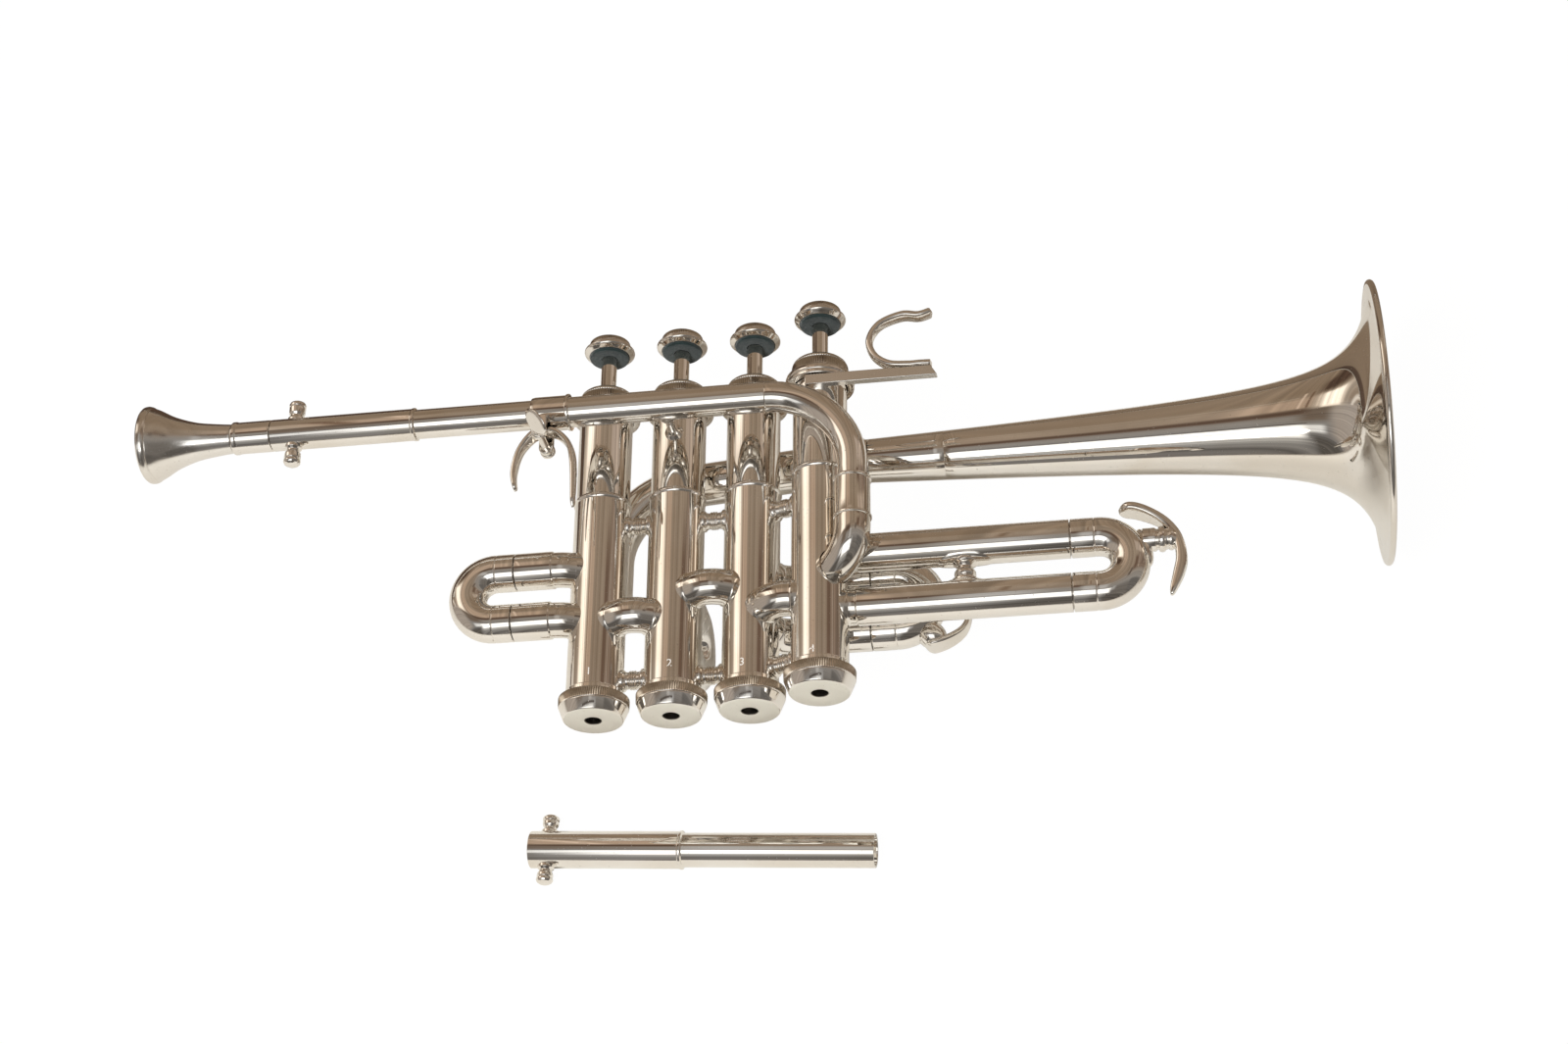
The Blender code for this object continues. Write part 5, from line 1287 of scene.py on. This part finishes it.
FOURTH_KNOTS = [(-9.2, 18.3, 0.8, 1), (-5.7, 18.9, 1, 1), (-1.5, 17.6, 1, 1), (3.6, 14.6, 0.8, 1), (7.2, 11.0, 0.65, 1),
                (9.3, 6.5, 0.6, 1.1), (10.0, 0, 0.55, 1.25), (8.7, -5.6, 0.45, 1.2), (6.9, -10.4, 0.35, 0.8),
                (5.9, -13.3, 0.2, 0.3)]
THIRD_KNOTS = [(-7.6, -16.2, 0.9, 0.9), (-4.4, -16.6, 1, 1), (1.0, -14.8, 0.9, 1), (5.4, -11.4, 0.7, 0.9),
               (7.3, -6.2, 0.5, 0.7), (6.8, -0.6, 0.3, 0.4)]
far_end = outermost(4)
strap("fourth_crescent_blade", "fourth_slide_hook", far_end, FOURTH_KNOTS, 8.4, 3.0, ends=(3.2, 1.0), crown=0.5)
lump("fourth_crescent_foot", "fourth_slide_hook", far_end + Vector((-1.8, 0, 4.6)), (2.5, 3.2, 7.0), -12)
hook_post = [(-2.0, 0), (-2.0, 3.9), (2.0, 3.9), (2.5, 3.4), (2.9, 3.4), (3.3, 4.1), (4.3, 4.3), (5.0, 4.0),
             (5.3, 3.5), (6.2, 3.4), (6.5, 3.8), (7.2, 3.9), (7.8, 3.6), (8.8, 2.8), (9.0, 0)]
skin("fourth_crescent_post", "fourth_slide_hook", straight(far_end + Vector((0, 0, 7.4)), (1, 0, 0)), hook_post,
     sides=48, soft=0.12, replaces=False)
near_end = outermost(3)
strap("third_crescent_blade", "third_slide_hook", near_end, THIRD_KNOTS, 8.4, 2.4, ends=(3.0, 1.0), crown=0.5)
lump("third_crescent_boss", "third_slide_hook", near_end + Vector((-5.4, 0, -12.6)), (5.6, 5.0, 4.5), 42)
print("crescents:", sum("crescent" in piece.name for piece in MADE))

# %% [markdown]
# Makers number the casings so that they aren't mixed up. The digits come from Blender's own
# font: flat outlines that are wrapped round the casing a hair above its wall. Their finish is
# frosted instead of polished, so they stay pale where the casing mirrors the dark ceiling.

# %% Valve numbers
FROSTED = Finish("frosted_engraving")
FROSTED.feed("Base Color", FROSTED.noise(900.0, 2.0).blend((0.80, 0.77, 0.72, 1), (0.95, 0.93, 0.90, 1)))
FROSTED.feed("Roughness", 0.6)


def valve_number(number, height, turn):
    """One digit wrapped round its casing, low on the viewer's side."""
    letters = bpy.data.curves.new("digit_%d" % number, "FONT")
    letters.body = str(number)
    letters.size = 3.8
    letters.align_x = "CENTER"
    letters.resolution_u = 3
    source = bpy.data.objects.new("digit_source", letters)
    bpy.context.collection.objects.link(source)
    bpy.context.view_layer.update()
    flat = source.to_mesh()
    shape = bmesh.new()
    shape.from_mesh(flat)
    source.to_mesh_clear()
    bpy.data.objects.remove(source, do_unlink=True)
    ax, ay = AXES[number]
    for vertex in shape.verts:
        angle = turn + vertex.co.x / WALL
        lift = WALL + 0.015
        vertex.co = at((ax + lift * math.cos(angle), ay + lift * math.sin(angle), height + vertex.co.y))
    return settle("valve_number_%d" % number, shape, "valve_casing_%d" % number, [FROSTED.material], replaces=False)


for number, height, lean in ((1, 12.5, -90), (2, 13.6, -85), (3, 12.3, -97), (4, 10.4, -97)):
    valve_number(number, height, math.radians(lean))
print("numbers:", sum(piece.name.startswith("valve_number") for piece in MADE))

# %% [markdown]
# The camera stands where the photographer stood. Its place and aim were worked out from the
# instrument's own sizes, so they are written in the instrument's frame.

# %% Camera
camera_data = bpy.data.cameras.new("camera")
camera = bpy.data.objects.new("camera", camera_data)
bpy.context.collection.objects.link(camera)
FORWARD = toward(-0.1424, 0.8619, 0.4867)
UPWARD = toward(0.0712, -0.4815, 0.8735)
RIGHT = FORWARD.cross(UPWARD).normalized()
UPWARD = RIGHT.cross(FORWARD)
turn = Matrix((RIGHT, UPWARD, -FORWARD)).transposed().to_4x4()
camera.matrix_world = Matrix.Translation(at((165.63, -779.11, -370.26))) @ turn
camera_data.sensor_width = 36.0
camera_data.sensor_fit = "HORIZONTAL"
camera_data.lens = 61.45
bpy.context.scene.camera = camera
print("lens:", round(camera_data.lens, 2), "mm")

# %% [markdown]
# Mirror metal shows its surroundings, so the room is the main light. A silver tube on a white
# table looks dull in a white room: it needs a warm, rather dark ceiling, one cream window on the
# left, a white one above the viewer, and a few darker edges such as a beam or a door frame.
# The world's colour therefore follows the direction alone. Each feature is a soft-edged patch,
# fine noise adds slats and frames, and a Light Path node shows plain white to the camera.

# %% Room
world = bpy.data.worlds.new("studio")
bpy.context.scene.world = world
world.use_nodes = True
world.node_tree.nodes.clear()
room = Wire(world.node_tree)
gaze = room.node("ShaderNodeTexCoord", {}, {}, 0)
split = room.node("ShaderNodeSeparateXYZ", {}, {"Vector": gaze})
across, depth, up = (Wire(world.node_tree, split.socket.node.outputs[index]) for index in range(3))


def patch(left, right, front, back, edge):
    """A soft-edged rectangle of directions: 1 inside, 0 outside."""
    sides = across.between(left - edge, left + edge) * across.between(right + edge, right - edge)
    return sides * depth.between(front - edge, front + edge) * depth.between(back + edge, back - edge)


base = room.node("ShaderNodeValToRGB", {"stops": [
    (0.00, (0.17, 0.16, 0.15)), (0.12, (0.15, 0.14, 0.135)), (0.30, (0.25, 0.24, 0.23)), (0.50, (0.29, 0.26, 0.23)),
    (0.60, (0.28, 0.215, 0.16)), (0.75, (0.32, 0.25, 0.185)), (0.88, (0.26, 0.19, 0.13)), (1.0, (0.27, 0.20, 0.14))]},
    {"Fac": depth * 0.5 + 0.5})
FEATURES = [
    (patch(-1.2, -0.72, -0.6, 0.25, 0.10), (0.385, 0.335, 0.29)),
    (patch(-0.68, -0.40, -0.22, 0.20, 0.08), (0.17, 0.13, 0.10)),
    (patch(0.25, 1.2, -1.2, -0.30, 0.15), (0.165, 0.15, 0.135)),
    (patch(-0.02, 1.2, -1.2, -0.80, 0.06), (0.105, 0.095, 0.085)),
    (patch(-1.2, -0.50, -1.2, -0.66, 0.04), (0.105, 0.095, 0.085)),
    (patch(0.70, 1.2, -1.2, -0.20, 0.05), (0.14, 0.13, 0.12)),
    (patch(-0.45, -0.06, 0.02, 0.22, 0.06), (0.12, 0.078, 0.055)),
    (patch(0.42, 0.53, 0.02, 0.22, 0.02), (0.13, 0.10, 0.08)),
    (patch(0.53, 1.2, 0.52, 0.70, 0.03), (0.44, 0.35, 0.28)),
    (patch(0.54, 0.72, 0.14, 0.42, 0.05), (0.155, 0.10, 0.07)),
    (patch(0.72, 1.2, 0.14, 0.50, 0.03), (0.22, 0.16, 0.12)),
    (patch(0.79, 0.81, 0.14, 0.62, 0.01), (0.62, 0.50, 0.40)),
    (patch(-0.50, -0.16, 0.25, 0.58, 0.06), (0.46, 0.34, 0.25)),
    (patch(-0.44, -0.42, 0.25, 0.70, 0.01), (0.18, 0.11, 0.07)),
    (patch(-0.38, -0.365, 0.25, 0.70, 0.008), (0.75, 0.58, 0.45)),
    (patch(0.02, 0.035, 0.25, 0.60, 0.008), (0.17, 0.11, 0.07)),
    (patch(0.24, 0.27, 0.25, 0.70, 0.012), (0.17, 0.12, 0.08)),
    (patch(-0.95, -0.50, 0.63, 0.82, 0.05), (0.085, 0.052, 0.035)),
    (patch(-0.86, -0.48, 0.20, 0.57, 0.06), (0.62, 0.52, 0.42)),
    (patch(-0.80, -0.56, 0.20, 0.57, 0.03), (1.30, 1.15, 0.98)),
    (patch(-0.95, -0.93, 0.20, 0.57, 0.008), (0.80, 0.72, 0.62)),
    (patch(-0.45, 0.04, -0.86, -0.62, 0.10), (0.42, 0.41, 0.39)),
    (patch(-0.07, 0.09, -0.42, 0.06, 0.05), (0.46, 0.44, 0.42)),
    (patch(0.06, 0.30, -0.52, -0.26, 0.05), (0.42, 0.41, 0.40)),
    (patch(-0.63, -0.34, -0.55, -0.35, 0.05), (0.85, 0.85, 0.84)),
    (patch(-0.44, 0.19, -0.70, -0.35, 0.05), (1.50, 1.50, 1.48)),
    (patch(-0.46, 0.19, -0.525, -0.51, 0.008), (0.34, 0.33, 0.32)),
    (patch(-0.46, 0.24, -0.315, -0.285, 0.012), (0.085, 0.07, 0.06)),
    (patch(-0.34, 0.02, 0.615, 0.63, 0.008), (0.45, 0.36, 0.28)),
]
glow = base
for mask, colour in FEATURES:
    glow = mask.blend(glow, (*colour, 1))
panels = room.node("ShaderNodeTexNoise", {"noise_dimensions": "1D"}, {"W": depth, "Scale": 24.0, "Detail": 3.0})
frames = room.node("ShaderNodeTexNoise", {"noise_dimensions": "1D"}, {"W": across, "Scale": 18.0, "Detail": 3.0})
above = depth.between(0.20, 0.28)
ripple = 1 + (panels - 0.5) * (1 - above) * 1.3 + (frames - 0.5) * above * 1.3
shown = room.node("ShaderNodeLightPath", {}, {}, 0)
lit = room.node("ShaderNodeBackground", {}, {"Color": glow, "Strength": ripple})
plain = room.node("ShaderNodeBackground", {}, {"Color": (1, 1, 1, 1), "Strength": 1.0})
mixed = room.node("ShaderNodeMixShader", {}, {0: shown, 1: lit, 2: plain})
room.node("ShaderNodeOutputWorld", {}, {"Surface": mixed})
print("room features:", len(FEATURES), "room nodes:", len(world.node_tree.nodes))

# %% [markdown]
# The table is a plain pale sheet. For the camera it glows to white, so the object stands on
# a clean background, and a share of its own shading stays mixed in, which keeps a faint shadow.

# %% Table
bpy.ops.mesh.primitive_plane_add(size=6.0, location=(0, 0, 0))
table = bpy.context.active_object
table.name = "table"
sheet = Finish("white_table")
sheet.feed("Base Color", (0.84, 0.83, 0.78, 1))
sheet.feed("Roughness", 0.9)
glowing = sheet.make.node("ShaderNodeEmission", {}, {"Color": (1, 1, 1, 1), "Strength": 1.03})
seen = sheet.make.node("ShaderNodeLightPath", {}, {}, 0)
own = Wire(sheet.tree, sheet.shader.outputs[0])
table_mix = sheet.make.node("ShaderNodeMixShader", {}, {0: seen * 0.95, 1: own, 2: glowing})
sheet.tree.links.new(table_mix.socket, sheet.tree.nodes["Material Output"].inputs["Surface"])
table.data.materials.append(sheet.material)
print("table:", table.dimensions.x, "m wide")

# %% [markdown]
# Bright metal would melt into a white background. Photographers lay brown card just outside the
# picture, and its reflection draws a dark edge along the top of every tube. This card lies on
# the table behind the object and shows only in reflections, so it never hides anything. Its left
# part is darker, because the mouthpiece's end reflects a shaded corner.

# %% Brown card
bpy.ops.mesh.primitive_plane_add(size=1.0, location=(0, 0.78, 0.001))
card = bpy.context.active_object
card.name = "brown_card"
card.scale = (3.0, 1.3, 1.0)
paper = Finish("brown_paper")
fibres = paper.noise(40.0, 3.0)
spot = paper.make.node("ShaderNodeTexCoord", {}, {}, 0)
left = paper.make.node("ShaderNodeSeparateXYZ", {}, {"Vector": spot}, 0).between(0.462, 0.438)
tan = fibres.blend((0.25, 0.19, 0.135, 1), (0.30, 0.23, 0.165, 1))
paper.feed("Base Color", left.blend(tan, (0.10, 0.062, 0.043, 1)))
paper.feed("Roughness", 0.9)
card.data.materials.append(paper.material)
card.visible_camera = card.visible_diffuse = card.visible_shadow = False
print("card:", tuple(card.scale)[:2], "m")

# %% [markdown]
# Two softboxes light the scene. The window above the viewer is small and weak: it only adds its
# reflection, which wanders along a tube as the tube runs past it. The stronger one lights the
# table and casts the soft shadow, and it is kept out of reflections, so the metal stays dark.

# %% Lamps


def softbox(name, spot, aim, size, power, mirrored):
    """An oval studio lamp, seen in polished metal or not."""
    lamp = bpy.data.lights.new(name, "AREA")
    lamp.shape = "ELLIPSE"
    lamp.size, lamp.size_y = size
    lamp.energy = power
    holder = bpy.data.objects.new(name, lamp)
    holder.location = spot
    holder.rotation_euler = (Vector(aim) - Vector(spot)).to_track_quat("-Z", "Y").to_euler()
    holder.visible_glossy = mirrored
    bpy.context.collection.objects.link(holder)
    return holder


softbox("window_softbox", (-0.17, -0.62, 0.90), (0, 0, 0.05), (0.44, 0.26), 0.35, True)
softbox("table_softbox", (-0.20, -0.55, 1.0), (0, 0, 0.05), (0.5, 0.5), 9.0, False)

# %% View settings
bpy.context.scene.view_settings.view_transform = "Standard"

# %% Count the pieces made
print("pieces made:", len(MADE))
